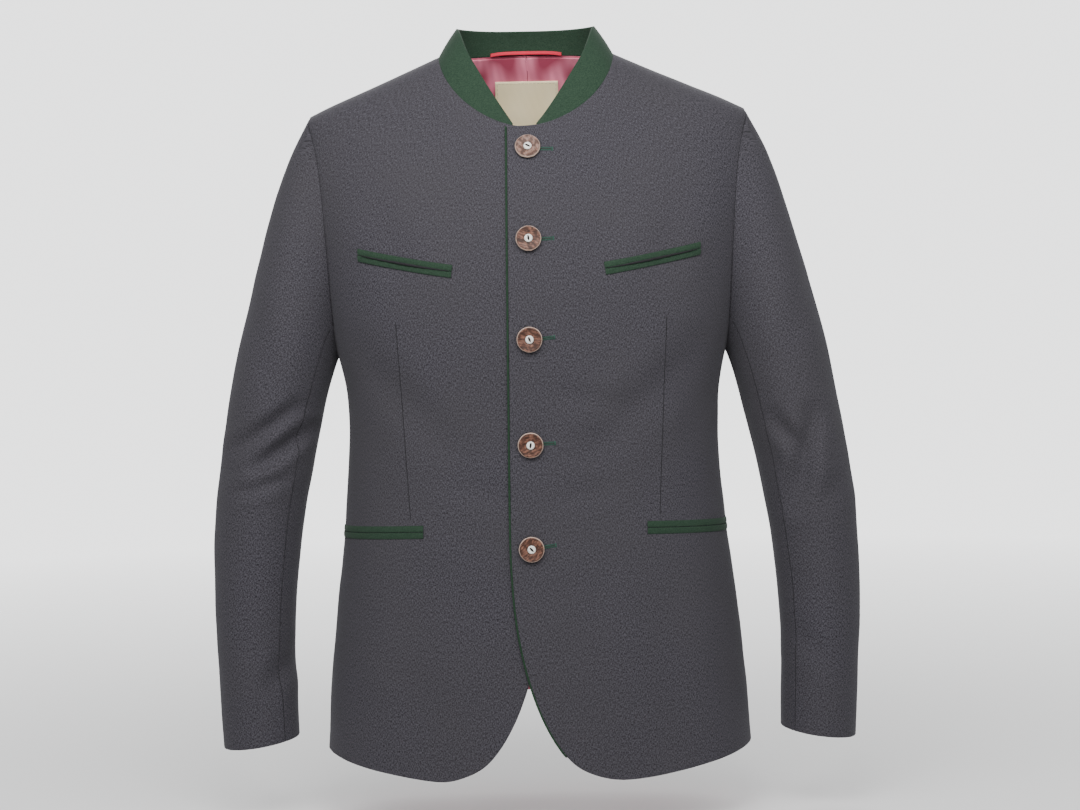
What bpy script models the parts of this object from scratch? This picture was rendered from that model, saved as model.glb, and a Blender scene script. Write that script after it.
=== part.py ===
"""Trachten jacket in its hollow worn form, one closed wall for each cut piece.

Sizes are in millimetres and are scaled to metres once, when a mesh is made. Height 0 is the side neck
point, +X is the wearer's left, the front faces -Y and +Z is up.
"""
import math

import bmesh
import bpy
import numpy as np

MM = 0.001

# Cloth thicknesses and the spaces between pieces
WALL = 2.0
COLLAR_WALL = 2.6
LINING_WALL = 1.2
LABEL_WALL = 0.8
LABEL_GAP = 1.3
SEAM_GAP = 0.3
LAY_GAP = 0.4
LIFT = WALL + LAY_GAP
MITRE_LIMIT = 0.5

# Neck, shoulder and armhole
NECK_HALF_WIDTH = 89.0
NECK_DROP = 76.0
NECK_POWER = 1.75
BACK_NECK_RISE = 4.0
SHOULDER_DROP = 58.0
ARMPIT_DROP = 305.0
ARMHOLE_FRONT = 52.0
ARMHOLE_BACK = 56.0
ARMPIT_GAP = 0.45

# Closing edge, overlap and hem
OVERLAP = 20.0
UNDERLAP = 13.5
CLOSING_DRIFT = 0.0105
FIRST_BUTTON = -98.0
CURVE_TOP = -500.0
CURVE_HEIGHT = 225.0
CURVE_WIDTH = 97.0
LIFT_FULL = 38.0
LIFT_GONE = 68.0
HEM_FLAT_TO = 90.0
HEM_SIDE_RISE = 19.0
HEM_BACK_RISE = 52.0
HEM_HALF_WIDTH = 218.0

# Torso sections: a superellipse at each height
ROUND = 2.35
TORSO_COLUMNS = ("height", "half_width", "front_depth", "back_depth")
TORSO_ROWS = (
    (12.0, 66.0, 30.0, 44.0),
    (0.0, 89.0, 36.0, 50.0),
    (-20.0, 135.0, 48.0, 66.0),
    (-40.0, 181.0, 56.0, 79.0),
    (-58.0, 222.0, 63.0, 88.0),
    (-72.0, 230.0, 68.0, 95.0),
    (-95.0, 231.0, 80.0, 104.0),
    (-150.0, 226.0, 103.0, 116.0),
    (-200.0, 218.0, 116.0, 120.0),
    (-250.0, 210.0, 122.0, 119.0),
    (-305.0, 198.5, 123.0, 114.0),
    (-343.0, 189.8, 121.0, 107.0),
    (-395.0, 189.5, 118.0, 102.0),
    (-446.0, 193.0, 119.0, 104.0),
    (-523.0, 202.0, 122.0, 111.0),
    (-600.0, 211.0, 124.0, 117.0),
    (-730.0, 221.0, 126.0, 122.0),
)

# Panel grids: rows run from the neck to the hem
FRONT_COLUMNS = 12
BACK_COLUMNS = 8
SHOULDER_STEPS = 5
FRONT_TIP_ROW = -118.0
BACK_TIP_ROW = -72.0
SIDE_ROW_HEIGHTS = (-343.0, -395.0, -447.0, -500.0, -550.0, -590.0, -625.0, -655.0, -680.0, -700.0, -714.0,
                    -725.0)
HEM_BEND_FROM = -480.0

# Armhole and sleeve ring angles in degrees: 0 on top or outside, 180 under the arm or inside
RING_ANGLES = (0.0, 20.0, 40.0, 60.0, 80.0, 100.0, 118.0, 136.0, 152.0, 166.0, 180.0)
FRONT_SEAM_INDEX = 7
BACK_SEAM_INDEX = 5

# Sleeve sections: the outer and inner edge seen from the front, half depth and middle in Y
SLEEVE_RINGS = 22
SLEEVE_RADIUS = 57.0
SLEEVE_COLUMNS = ("index", "out_x", "out_z", "in_x", "in_z", "half_depth", "middle_y", "armhole_share")
SLEEVE_ROWS = (
    (0, 222.0, -58.0, 198.5, -305.0, 54.0, 2.0, 1.0),
    (1, 243.0, -96.0, 200.5, -310.0, 60.0, 1.0, 0.55),
    (2, 262.0, -147.0, 203.5, -319.0, 66.0, 0.0, 0.2),
    (3, 281.5, -217.0, 208.5, -335.0, 70.0, -1.0, 0.0),
    (4, 296.5, -271.0, 214.0, -357.0, 70.0, -3.0, 0.0),
    (5, 308.0, -325.0, 220.0, -382.0, 68.0, -5.0, 0.0),
    (6, 320.0, -390.0, 227.5, -417.0, 64.0, -8.0, 0.0),
    (7, 329.0, -453.0, 236.0, -462.0, 60.0, -11.0, 0.0),
    (8, 332.0, -513.0, 243.0, -513.0, 56.0, -14.0, 0.0),
    (9, 332.0, -558.0, 248.0, -556.0, 53.0, -17.0, 0.0),
    (10, 330.0, -606.0, 250.0, -602.0, 50.0, -20.0, 0.0),
    (11, 328.0, -652.0, 248.5, -646.0, 48.0, -22.0, 0.0),
    (12, 325.0, -701.0, 247.0, -690.0, 46.0, -24.0, 0.0),
)
SLEEVE_FOLD_COLUMNS = ("side", "start_angle", "start_height", "end_angle", "end_height", "depth", "width")
SLEEVE_FOLDS = (
    (-1, 123.0, -359.0, 51.0, -402.0, 4.5, 17.0),
    (-1, 130.0, -392.0, 90.0, -420.0, 3.5, 14.0),
    (-1, 150.0, -603.0, 110.0, -634.0, 3.0, 16.0),
    (1, 75.0, -371.0, 112.0, -449.0, 4.0, 18.0),
    (1, -70.0, -385.0, -125.0, -425.0, 4.0, 17.0),
    (-1, -60.0, -395.0, -120.0, -440.0, 4.0, 18.0),
)

# Stand collar: it starts at a neck column of each front and leans toward the neck
COLLAR_FIRST_COLUMN = 2
COLLAR_HEIGHT = 34.0
COLLAR_END_HEIGHT = 2.2
COLLAR_CORNER = 80.0
COLLAR_CORNER_POWER = 1.5
COLLAR_BACK_DROP = 9.0
COLLAR_BACK_Y = 48.0
COLLAR_STEPS = 3
COLLAR_BULGE = 1.2
COLLAR_AXIS_Y = 5.0
COLLAR_FRONT_PULL = 0.45
COLLAR_LEAN_AT_Y = (-69.0, 0.0, 50.0)
COLLAR_LEAN = (56.0, 33.0, 20.0)

# Welt pockets: each has an upper and a lower lip along a slit on the front
LIP_HEIGHT = 6.2
SLIT_HALF = 0.25
WELT_GAP = 0.6
LIP_STEPS = 10
LIP_PROFILE = (
    (0.0, 0.0),
    (0.0, 1.1),
    (1.4, 1.5),
    (4.9, 1.3),
    (LIP_HEIGHT, 0.7),
    (LIP_HEIGHT, 0.0),
)
CHEST_START_X = {1: 73.5, -1: 77.0}
CHEST_START_HEIGHT = -218.0
CHEST_END_X = {1: 169.5, -1: 171.0}
CHEST_END_HEIGHT = -200.0
HIP_START_X = 111.0
HIP_START_HEIGHT = -475.5
HIP_END_Y = 6.0
HIP_END_HEIGHT = -482.5

# Buttons, eyelets, piping, loop and label
BUTTON_HEIGHTS = (-98.0, -188.0, -286.0, -390.0, -493.0)
BUTTON_SIDES = 20
BUTTON_PROFILE = (
    (0.0, 0.0),
    (4.0, 0.0),
    (4.0, 1.2),
    (11.3, 1.2),
    (12.6, 2.5),
    (11.6, 4.5),
    (9.4, 4.4),
    (4.4, 3.6),
    (4.4, 2.4),
    (0.0, 2.4),
)
EYELET_SIDES = 14
EYELET_PROFILE = (
    (1.7, 2.7),
    (4.1, 2.7),
    (4.1, 4.3),
    (3.2, 4.9),
    (1.9, 4.3),
)
PIPING_RADIUS = 1.0
PIPING_SIDES = 6
PIPING_END = -702.0
LOOP_HALF_LENGTH = 37.0
LOOP_HEIGHT = 3.8
LOOP_WALL = 1.5
LOOP_END_GAP = 0.7
LOOP_STAND_OFF = 3.3
LOOP_RAISE = 1.5
LOOP_STEPS = 12
LABEL_HALF_WIDTH = 33.0
LABEL_TOP = -19.5
LABEL_BOTTOM = -77.5
LABEL_STEPS = 6
LINING_TOP_SHARE = 0.12

# Finishes: base colour and roughness
FINISHES = {
    "wool": ((0.075, 0.070, 0.085), 0.95),
    "loden": ((0.042, 0.115, 0.054), 0.95),
    "lining": ((0.36, 0.10, 0.135), 0.45),
    "crimson_tape": ((0.60, 0.02, 0.05), 0.6),
    "label_cloth": ((0.78, 0.70, 0.52), 0.7),
    "horn": ((0.30, 0.15, 0.10), 0.4),
    "eyelet": ((0.88, 0.85, 0.80), 0.35),
}
FRONT = -1
BACK = 1


class SmoothTable:
    """Named columns of a short table, read smoothly and without overshoot between its rows."""

    def __init__(self, columns, rows):
        data = np.array(sorted(rows), dtype=float).T
        self.stations = data[0]
        self.values = dict(zip(columns[1:], data[1:]))
        self.slopes = {name: self.even_slopes(values) for name, values in self.values.items()}

    def even_slopes(self, values):
        """Slope at each row, zero at a peak."""
        secants = np.diff(values) / np.diff(self.stations)
        slopes = np.zeros(len(values))
        slopes[0] = secants[0]
        slopes[-1] = secants[-1]
        for index in range(1, len(values) - 1):
            before, after = secants[index - 1], secants[index]
            if before * after > 0.0:
                slopes[index] = 2.0 * before * after / (before + after)
        return slopes

    def read(self, name, at):
        """Value of a column at a station."""
        last = len(self.stations) - 2
        index = int(np.clip(np.searchsorted(self.stations, at) - 1, 0, last))
        step = self.stations[index + 1] - self.stations[index]
        share = np.clip((at - self.stations[index]) / step, 0.0, 1.0)
        values, slopes = self.values[name], self.slopes[name]
        start = (1.0 + 2.0 * share) * (1.0 - share) ** 2
        rise = share * (1.0 - share) ** 2 * step
        end = share ** 2 * (3.0 - 2.0 * share)
        fall = share ** 2 * (share - 1.0) * step
        return start * values[index] + rise * slopes[index] + end * values[index + 1] + fall * slopes[index + 1]


TORSO = SmoothTable(TORSO_COLUMNS, TORSO_ROWS)
SLEEVE = SmoothTable(SLEEVE_COLUMNS, SLEEVE_ROWS)


def unit(vector):
    """The vector at length 1."""
    return vector / max(np.linalg.norm(vector), 1e-9)


def ease(share):
    """Smooth step from 0 to 1."""
    share = min(max(share, 0.0), 1.0)
    return share * share * (3.0 - 2.0 * share)


# Torso surface, in the wearer's left half; mirrored by the side sign when pieces are made
def torso_sizes(height, face):
    """Half width and depth of the torso section at a height."""
    depth_name = "front_depth" if face == FRONT else "back_depth"
    return TORSO.read("half_width", height), TORSO.read(depth_name, height)


def torso_point(angle, height, face):
    """Point of the outer surface: angle 0 at the side, a right angle on the centre line."""
    width, depth = torso_sizes(height, face)
    cosine, sine = math.cos(angle), math.sin(angle)
    x = width * math.copysign(abs(cosine) ** (2.0 / ROUND), cosine)
    y = face * depth * abs(sine) ** (2.0 / ROUND)
    return np.array((x, y, height))


def torso_normal(angle, height, face):
    """Outward normal of the superellipse surface."""
    width, depth = torso_sizes(height, face)
    wide_up, deep_up = torso_sizes(height + 0.5, face)
    wide_down, deep_down = torso_sizes(height - 0.5, face)
    x, y, _ = torso_point(angle, height, face)
    x_share, y_share = abs(x) / width, abs(y) / depth
    out_x = math.copysign(x_share ** (ROUND - 1.0) / width, x)
    out_y = math.copysign(y_share ** (ROUND - 1.0) / depth, y)
    out_z = -(x_share ** ROUND * (wide_up - wide_down) / width + y_share ** ROUND * (deep_up - deep_down) / depth)
    return unit(np.array((out_x, out_y, out_z)))


def angle_at_x(x, height, face):
    """Surface angle of a distance from the centre plane."""
    width, _ = torso_sizes(height, face)
    share = min(abs(x) / width, 1.0)
    return math.acos(math.copysign(share ** (ROUND / 2.0), x))


def angle_at_y(y, height, face):
    """Surface angle of a distance from the side plane."""
    _, depth = torso_sizes(height, face)
    return math.asin(min(abs(y) / depth, 1.0) ** (ROUND / 2.0))


# Edges of the panels
def closing_line(height):
    """X of the button line, which drifts a little toward the wearer's right going down."""
    return CLOSING_DRIFT * min(height - FIRST_BUTTON, 0.0)


def front_edge(height, side):
    """Distance of a front's free edge from the centre plane, on that front's own side."""
    drop = min(max((CURVE_TOP - height) / CURVE_HEIGHT, 0.0), 1.0)
    lap = OVERLAP if side > 0 else UNDERLAP
    offset = CURVE_WIDTH * (1.0 - math.sqrt(1.0 - drop * drop)) - lap
    return side * closing_line(height) + offset


def armhole_point(ring_angle, face, gap):
    """Y and Z on the armhole, enlarged by a gap."""
    middle = -0.5 * (SHOULDER_DROP + ARMPIT_DROP)
    half_height = 0.5 * (ARMPIT_DROP - SHOULDER_DROP) + gap
    half_depth = (ARMHOLE_FRONT if face == FRONT else ARMHOLE_BACK) + gap
    turn = math.radians(ring_angle)
    return face * half_depth * math.sin(turn), middle + half_height * math.cos(turn)


def armhole_gap(ring_angle):
    """Space on the torso side of the armhole seam, wider in the sharp fold under the arm."""
    return SEAM_GAP / 2.0 + (ARMPIT_GAP - SEAM_GAP / 2.0) * (1.0 - math.cos(math.radians(ring_angle))) / 2.0


def side_boundary(face):
    """Angle and height down the shoulder seam, round the armhole and down the side seam."""
    shoulder = np.linspace(0.0, -SHOULDER_DROP, SHOULDER_STEPS + 1)[:-1]
    boundary = [(0.0, height) for height in shoulder]
    for ring_angle in RING_ANGLES:
        y, height = armhole_point(ring_angle, face, armhole_gap(ring_angle))
        boundary.append((angle_at_y(y, height, face), height))
    return boundary + [(0.0, height) for height in SIDE_ROW_HEIGHTS]


def centre_heights(face):
    """Height of each row on the closing edge or the centre back."""
    top = -NECK_DROP if face == FRONT else BACK_NECK_RISE
    tip = FRONT_TIP_ROW if face == FRONT else BACK_TIP_ROW
    shoulder = np.linspace(top, tip, SHOULDER_STEPS + 1)[:-1]
    armhole = np.linspace(tip, -ARMPIT_DROP, len(RING_ANGLES))
    return np.concatenate((shoulder, armhole, SIDE_ROW_HEIGHTS))


def front_neck_row(side, columns):
    """Angle and height along the front neckline, evenly spaced from the free edge to the shoulder seam."""
    path = [(x, -NECK_DROP) for x in np.linspace(front_edge(-NECK_DROP, side), 0.0, 20)]
    for turn in np.linspace(0.0, math.pi / 2.0, 80)[1:]:
        x = NECK_HALF_WIDTH * math.sin(turn) ** (2.0 / NECK_POWER)
        path.append((x, -NECK_DROP * max(math.cos(turn), 0.0) ** (2.0 / NECK_POWER)))
    angles = np.array([angle_at_x(x, height, FRONT) for x, height in path])
    heights = np.array([height for _, height in path])
    points = np.array([torso_point(angle, height, FRONT) for angle, height in zip(angles, heights)])
    length = np.concatenate(([0.0], np.cumsum(np.linalg.norm(np.diff(points, axis=0), axis=1))))
    even = np.linspace(0.0, length[-1], columns + 1)
    return np.interp(even, length, angles), np.interp(even, length, heights)


def back_neck_row(columns):
    """Angle and height along the back neckline from the centre back to the shoulder seam."""
    angles = np.linspace(math.pi / 2.0, 0.0, columns + 1)
    rises = [BACK_NECK_RISE * (1.0 - math.cos(angle) ** (4.0 / ROUND)) for angle in angles]
    return angles, np.array(rises)


def hem_rise(x, face):
    """How far the hem stands above its lowest point, at a distance from the centre plane."""
    if face == FRONT:
        share = max(x - HEM_FLAT_TO, 0.0) / (HEM_HALF_WIDTH - HEM_FLAT_TO)
        return HEM_SIDE_RISE * min(share, 1.0) ** 1.4
    share = min(x / HEM_HALF_WIDTH, 1.0)
    return HEM_BACK_RISE + (HEM_SIDE_RISE - HEM_BACK_RISE) * share ** 2


def panel_grid(face, side, columns):
    """Angle and height of every grid point of a panel, rows from the neck to the hem."""
    boundary = side_boundary(face)
    centres = centre_heights(face)
    neck_angles, neck_heights = front_neck_row(side, columns) if face == FRONT else back_neck_row(columns)
    shares = np.linspace(0.0, 1.0, columns + 1)
    tip = SHOULDER_STEPS + len(RING_ANGLES) - 1
    grid = []
    for row, ((end_angle, end_height), start_height) in enumerate(zip(boundary, centres)):
        start_x = front_edge(start_height, side) if face == FRONT else 0.0
        start_angle = angle_at_x(start_x, start_height, face)
        angles = start_angle + (end_angle - start_angle) * shares
        heights = start_height + (end_height - start_height) * shares
        if row == 0:
            first_angles, first_heights = angles, heights
        neck_pull = (1.0 - ease(row / tip)) ** 2
        angles = angles + neck_pull * (neck_angles - first_angles)
        heights = heights + neck_pull * (neck_heights - first_heights)
        bend = ease((HEM_BEND_FROM - start_height) / (HEM_BEND_FROM - SIDE_ROW_HEIGHTS[-1]))
        for column, angle in enumerate(angles):
            x = torso_point(angle, heights[column], face)[0]
            heights[column] += bend * hem_rise(x, face)
        grid.append((angles, heights))
    return grid


def front_lift(x, side):
    """How far the front that lies over is moved out, easing away past the overlap."""
    if side < 0:
        return 0.0
    return LIFT * ease((LIFT_GONE - x) / (LIFT_GONE - LIFT_FULL))


def panel_point(angle, height, face, side, inward=0.0):
    """Point and normal on a panel's outer surface in its own half, moved inward by a distance."""
    point = torso_point(angle, height, face)
    normal = torso_normal(angle, height, face)
    lift = front_lift(point[0], side) if face == FRONT else 0.0
    return point + normal * (lift - inward), normal


def keep_clear(point, face):
    """Hold a point half a seam gap off the side plane, and off the centre plane at the back."""
    x, y, z = point
    if face == BACK:
        x = max(x, SEAM_GAP / 2.0)
    return np.array((x, face * max(face * y, SEAM_GAP / 2.0), z))


def shared_mitre(first, second):
    """Direction and length factor of a seam face between two walls, from their normals."""
    middle = unit(first + second)
    return middle / max(float(np.dot(middle, first)), MITRE_LIMIT)


# Collar directions at the neck
def collar_direction(point):
    """Direction of the stand from a neck point, in the wearer's left half."""
    x, y, _ = point
    inward = unit(np.array((-x, -(y - COLLAR_AXIS_Y) * (COLLAR_FRONT_PULL if y < 0.0 else 1.0), 0.0)))
    lean = math.radians(np.interp(y, COLLAR_LEAN_AT_Y, COLLAR_LEAN))
    return inward * math.sin(lean) + np.array((0.0, 0.0, math.cos(lean)))


def collar_normals(points):
    """Outward normal of the stand at each point of a neck line."""
    tangents = np.gradient(np.array(points), axis=0)
    normals = []
    for point, tangent in zip(points, tangents):
        normal = unit(np.cross(tangent, collar_direction(point)))
        outward = np.array((point[0], point[1] - COLLAR_AXIS_Y, 0.0))
        normals.append(normal if np.dot(normal, outward) > 0.0 else -normal)
    return normals


# Meshes and materials
def finish(name):
    """Principled material of a finish, made once."""
    found = bpy.data.materials.get(name)
    if found:
        return found
    colour, roughness = FINISHES[name]
    material = bpy.data.materials.new(name)
    material.use_nodes = True
    shader = material.node_tree.nodes["Principled BSDF"]
    shader.inputs["Base Color"].default_value = (*colour, 1.0)
    shader.inputs["Roughness"].default_value = roughness
    return material


def add_object(name, points, faces, material):
    """Closed mesh object from points in millimetres."""
    mesh = bpy.data.meshes.new(name)
    mesh.from_pydata([tuple(float(value) * MM for value in point) for point in points], [], faces)
    work = bmesh.new()
    work.from_mesh(mesh)
    bmesh.ops.recalc_face_normals(work, faces=work.faces)
    work.to_mesh(mesh)
    work.free()
    mesh.materials.append(finish(material))
    item = bpy.data.objects.new(name, mesh)
    bpy.context.scene.collection.objects.link(item)
    return item


def split_quads(corners):
    """Two triangles for each quad."""
    faces = []
    for first, second, third, fourth in corners:
        faces.append((first, second, third))
        faces.append((first, third, fourth))
    return faces


def add_wall(name, outer, inner, material):
    """Closed wall between an outer and an inner grid of points."""
    rows, columns = outer.shape[:2]
    count = rows * columns
    corners = [row * columns + column for row in range(rows - 1) for column in range(columns - 1)]
    faces = split_quads([(corner, corner + 1, corner + columns + 1, corner + columns) for corner in corners])
    faces += [tuple(index + count for index in face[::-1]) for face in faces]
    top = list(range(columns))
    bottom = [count - columns + column for column in range(columns)]
    left = [row * columns for row in range(rows)]
    right = [row * columns + columns - 1 for row in range(rows)]
    for rim, turned in ((top, True), (bottom, False), (left, False), (right, True)):
        quads = [(first, second, second + count, first + count) for first, second in zip(rim, rim[1:])]
        faces += [face[::-1] if turned else face for face in split_quads(quads)]
    points = np.concatenate((outer.reshape(-1, 3), inner.reshape(-1, 3)))
    return add_object(name, points, faces, material)


def add_loft(name, sections, material):
    """Closed solid through equal loops of points, with flat ends."""
    size = len(sections[0])
    points = [point for section in sections for point in section]
    quads = []
    for index in range(len(sections) - 1):
        base = index * size
        for corner in range(size):
            following = (corner + 1) % size
            quads.append((base + corner, base + following, base + size + following, base + size + corner))
    last = len(points) - size
    faces = split_quads(quads)
    faces += [tuple(range(size))[::-1], tuple(last + corner for corner in range(size))]
    return add_object(name, points, faces, material)


def add_turned(name, profile, sides, origin, axis, material):
    """Solid of revolution about an axis; a profile that starts off the axis makes a ring."""
    axis = unit(axis)
    across = unit(np.cross(axis, np.array((0.0, 0.0, 1.0))))
    upward = np.cross(across, axis)
    turns = np.linspace(0.0, 2.0 * math.pi, sides, endpoint=False)
    points, loops = [], []
    for radius, height in profile:
        if radius == 0.0:
            loops.append([len(points)] * sides)
            points.append(origin + axis * height)
            continue
        loops.append(list(range(len(points), len(points) + sides)))
        for turn in turns:
            spoke = across * math.cos(turn) + upward * math.sin(turn)
            points.append(origin + axis * height + spoke * radius)
    if profile[0][0] > 0.0:
        loops.append(loops[0])
    faces = []
    for lower, upper in zip(loops, loops[1:]):
        for corner in range(sides):
            following = (corner + 1) % sides
            ring = (lower[corner], lower[following], upper[following], upper[corner])
            faces.append(tuple(dict.fromkeys(ring)))
    return add_object(name, points, faces, material)


def mirrored(points, side):
    """Points of the wearer's left half placed on a side."""
    return np.asarray(points) * np.array((side, 1.0, 1.0))


# Sleeves
def sleeve_fold(side, angle, height):
    """Depth of the largest folds at a place on a sleeve."""
    depth_sum = 0.0
    place = np.array((math.radians(angle) * SLEEVE_RADIUS, height))
    for row in SLEEVE_FOLDS:
        fold = dict(zip(SLEEVE_FOLD_COLUMNS, row))
        if fold["side"] != side:
            continue
        start = np.array((math.radians(fold["start_angle"]) * SLEEVE_RADIUS, fold["start_height"]))
        end = np.array((math.radians(fold["end_angle"]) * SLEEVE_RADIUS, fold["end_height"]))
        share = np.clip(np.dot(place - start, end - start) / np.dot(end - start, end - start), 0.0, 1.0)
        distance = np.linalg.norm(place - start - share * (end - start))
        depth_sum += fold["depth"] * math.exp(-(distance / fold["width"]) ** 2)
    return depth_sum


def signed_ring():
    """Ring places in order: over the front to the armpit, then up the back, as face and angle."""
    front = [(FRONT, angle) for angle in RING_ANGLES]
    back = [(BACK, angle) for angle in RING_ANGLES[-2:0:-1]]
    return front + back


def sleeve_section(index, face, angle):
    """Point of a plain sleeve section at a place on the ring."""
    value = {name: SLEEVE.read(name, index) for name in SLEEVE_COLUMNS[1:]}
    outer = np.array((value["out_x"], value["out_z"]))
    inner = np.array((value["in_x"], value["in_z"]))
    turn = math.radians(angle)
    x, z = (outer + inner) / 2.0 + (outer - inner) / 2.0 * math.cos(turn)
    return np.array((x, value["middle_y"] + face * value["half_depth"] * math.sin(turn), z))


def armhole_ring():
    """Points and torso normals of the armhole seam line."""
    points, normals = [], []
    for face, angle in signed_ring():
        y, height = armhole_point(angle, face, 0.0)
        surface_angle = angle_at_y(y, height, face)
        points.append(torso_point(surface_angle, height, face))
        normals.append(torso_normal(surface_angle, height, face))
    return np.array(points), np.array(normals)


def sleeve_rings(side):
    """Outer points and normals of a sleeve from the armhole to the cuff, folds included."""
    places = signed_ring()
    seam, _ = armhole_ring()
    offset = seam - np.array([sleeve_section(0, face, angle) for face, angle in places])
    rings = []
    for index in np.linspace(0.0, SLEEVE_ROWS[-1][0], SLEEVE_RINGS):
        share = SLEEVE.read("armhole_share", index)
        ring = [sleeve_section(index, face, angle) for face, angle in places]
        rings.append(np.array(ring) + share * offset)
    rings = np.array(rings)
    around = np.roll(rings, -1, axis=1) - np.roll(rings, 1, axis=1)
    along = np.gradient(rings, axis=0)
    normals = np.cross(along, around)
    normals = normals / np.linalg.norm(normals, axis=2, keepdims=True)
    if np.dot(normals[-1, 0], np.array((1.0, 0.0, 0.0))) < 0.0:
        normals = -normals
    for row in range(2, SLEEVE_RINGS):
        for column, (face, angle) in enumerate(places):
            depth = sleeve_fold(side, -face * angle, rings[row, column, 2])
            rings[row, column] -= normals[row, column] * depth
    return rings, normals


def armhole_mitres(rings, normals):
    """Shared seam directions round the armhole."""
    _, torso_normals = armhole_ring()
    return [shared_mitre(first, second) for first, second in zip(torso_normals, normals[0])]


def build_sleeve(side, name, rings, normals, mitres):
    """Upper and under sleeve walls, split along the front and back seams."""
    along = rings[1] - rings[0]
    outer = rings.copy()
    for column, (_, angle) in enumerate(signed_ring()):
        outer[0, column] += unit(along[column]) * armhole_gap(angle)
    inner = outer - WALL * normals
    inner[0] = outer[0] - WALL * np.array(mitres)
    count = outer.shape[1]
    back_seam = count - BACK_SEAM_INDEX
    spans = {
        "upper": [index % count for index in range(back_seam, count + FRONT_SEAM_INDEX + 1)],
        "under": list(range(FRONT_SEAM_INDEX, back_seam + 1)),
    }
    around = np.roll(outer, -1, axis=1) - np.roll(outer, 1, axis=1)
    around = around / np.linalg.norm(around, axis=2, keepdims=True)
    for part, columns in spans.items():
        walls = []
        for grid in (outer, inner):
            piece = grid[:, columns].copy()
            piece[:, 0] += around[:, columns[0]] * SEAM_GAP / 2.0
            piece[:, -1] -= around[:, columns[-1]] * SEAM_GAP / 2.0
            walls.append(mirrored(piece, side))
        add_wall(f"sleeve_{name}_{part}", walls[0], walls[1], "wool")


# Torso panels
def build_panel(name, face, side, columns, mitres):
    """Wall of a front or back panel; returns the outer points of its neck edge in its own half."""
    grid = panel_grid(face, side, columns)
    outer, inner = [], []
    for angles, heights in grid:
        row_outer, row_inner = [], []
        for angle, height in zip(angles, heights):
            point, normal = panel_point(angle, height, face, side)
            row_outer.append(keep_clear(point, face))
            row_inner.append(keep_clear(row_outer[-1] - WALL * normal, face))
        outer.append(row_outer)
        inner.append(row_inner)
    for index in range(len(RING_ANGLES)):
        row = SHOULDER_STEPS + index
        mitre = mitres[index if face == FRONT else -index]
        inner[row][-1] = keep_clear(outer[row][-1] - WALL * mitre, face)
    neck = outer[0]
    first = COLLAR_FIRST_COLUMN if face == FRONT else 0
    stand_normals = collar_normals(neck)
    for column in range(first, columns + 1):
        angle, height = grid[0][0][column], grid[0][1][column]
        mitre = shared_mitre(torso_normal(angle, height, face), stand_normals[column])
        inner[0][column] = keep_clear(neck[column] - WALL * mitre, face)
    add_wall(name, mirrored(outer, side), mirrored(inner, side), "wool")
    return neck, np.array(outer), grid


def build_lining(name, side, grid):
    """Back lining half, a thin wall inside the back panel and short of its seams."""
    top = tuple(first + (second - first) * LINING_TOP_SHARE for first, second in zip(grid[0], grid[1]))
    rows = [top] + grid[1:-1]
    depth = WALL + LAY_GAP
    walls = []
    for inward in (depth, depth + LINING_WALL):
        wall = []
        for angles, heights in rows:
            row = [panel_point(*place, BACK, side, inward)[0] for place in zip(angles[:-1], heights[:-1])]
            wall.append([keep_clear(point, BACK) for point in row])
        walls.append(mirrored(wall, side))
    add_wall(name, walls[0], walls[1], "lining")


def build_collar(necks):
    """Stand collar all round the neck, from one front end over the back to the other."""
    left = list(necks["front_left"][COLLAR_FIRST_COLUMN:-1]) + list(necks["back_left"][::-1])
    right = list(necks["front_right"][COLLAR_FIRST_COLUMN:-1]) + list(necks["back_right"][:0:-1])
    halves = []
    for half, side in ((left, 1), (right, -1)):
        base = np.array(half)
        base[-1, 0] = max(base[-1, 0], 0.0) if side < 0 else 0.0
        normals = collar_normals(base)
        torso_normals = [neck_normal(point) for point in base]
        run = np.concatenate(([0.0], np.cumsum(np.linalg.norm(np.diff(base, axis=0), axis=1))))
        outer, inner = [], []
        for place, point in enumerate(base):
            direction = collar_direction(point)
            open_share = max(1.0 - run[place] / COLLAR_CORNER, 0.0)
            corner = (1.0 - open_share ** COLLAR_CORNER_POWER) ** (1.0 / COLLAR_CORNER_POWER)
            drop = COLLAR_BACK_DROP * (max(point[1], 0.0) / COLLAR_BACK_Y) ** 2
            height = max(COLLAR_HEIGHT * corner - drop, COLLAR_END_HEIGHT)
            mitre = shared_mitre(torso_normals[place], normals[place])
            line, back_line = [], []
            for share in np.linspace(0.0, 1.0, COLLAR_STEPS + 1):
                bulge = COLLAR_BULGE * 4.0 * share * (1.0 - share) * min(height / COLLAR_HEIGHT, 1.0)
                spot = point + direction * (SEAM_GAP + height * share) + normals[place] * bulge
                line.append(spot)
                back_line.append(spot - COLLAR_WALL * (mitre if share == 0.0 else normals[place]))
            outer.append(line)
            inner.append(back_line)
        halves.append((mirrored(outer, side), mirrored(inner, side)))
    outer = np.concatenate((halves[0][0], halves[1][0][::-1]))
    inner = np.concatenate((halves[0][1], halves[1][1][::-1]))
    add_wall("collar", outer, inner, "loden")


def neck_normal(point):
    """Torso normal at a neck point."""
    face = FRONT if point[1] < 0.0 else BACK
    return torso_normal(angle_at_x(point[0], point[2], face), point[2], face)


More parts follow.
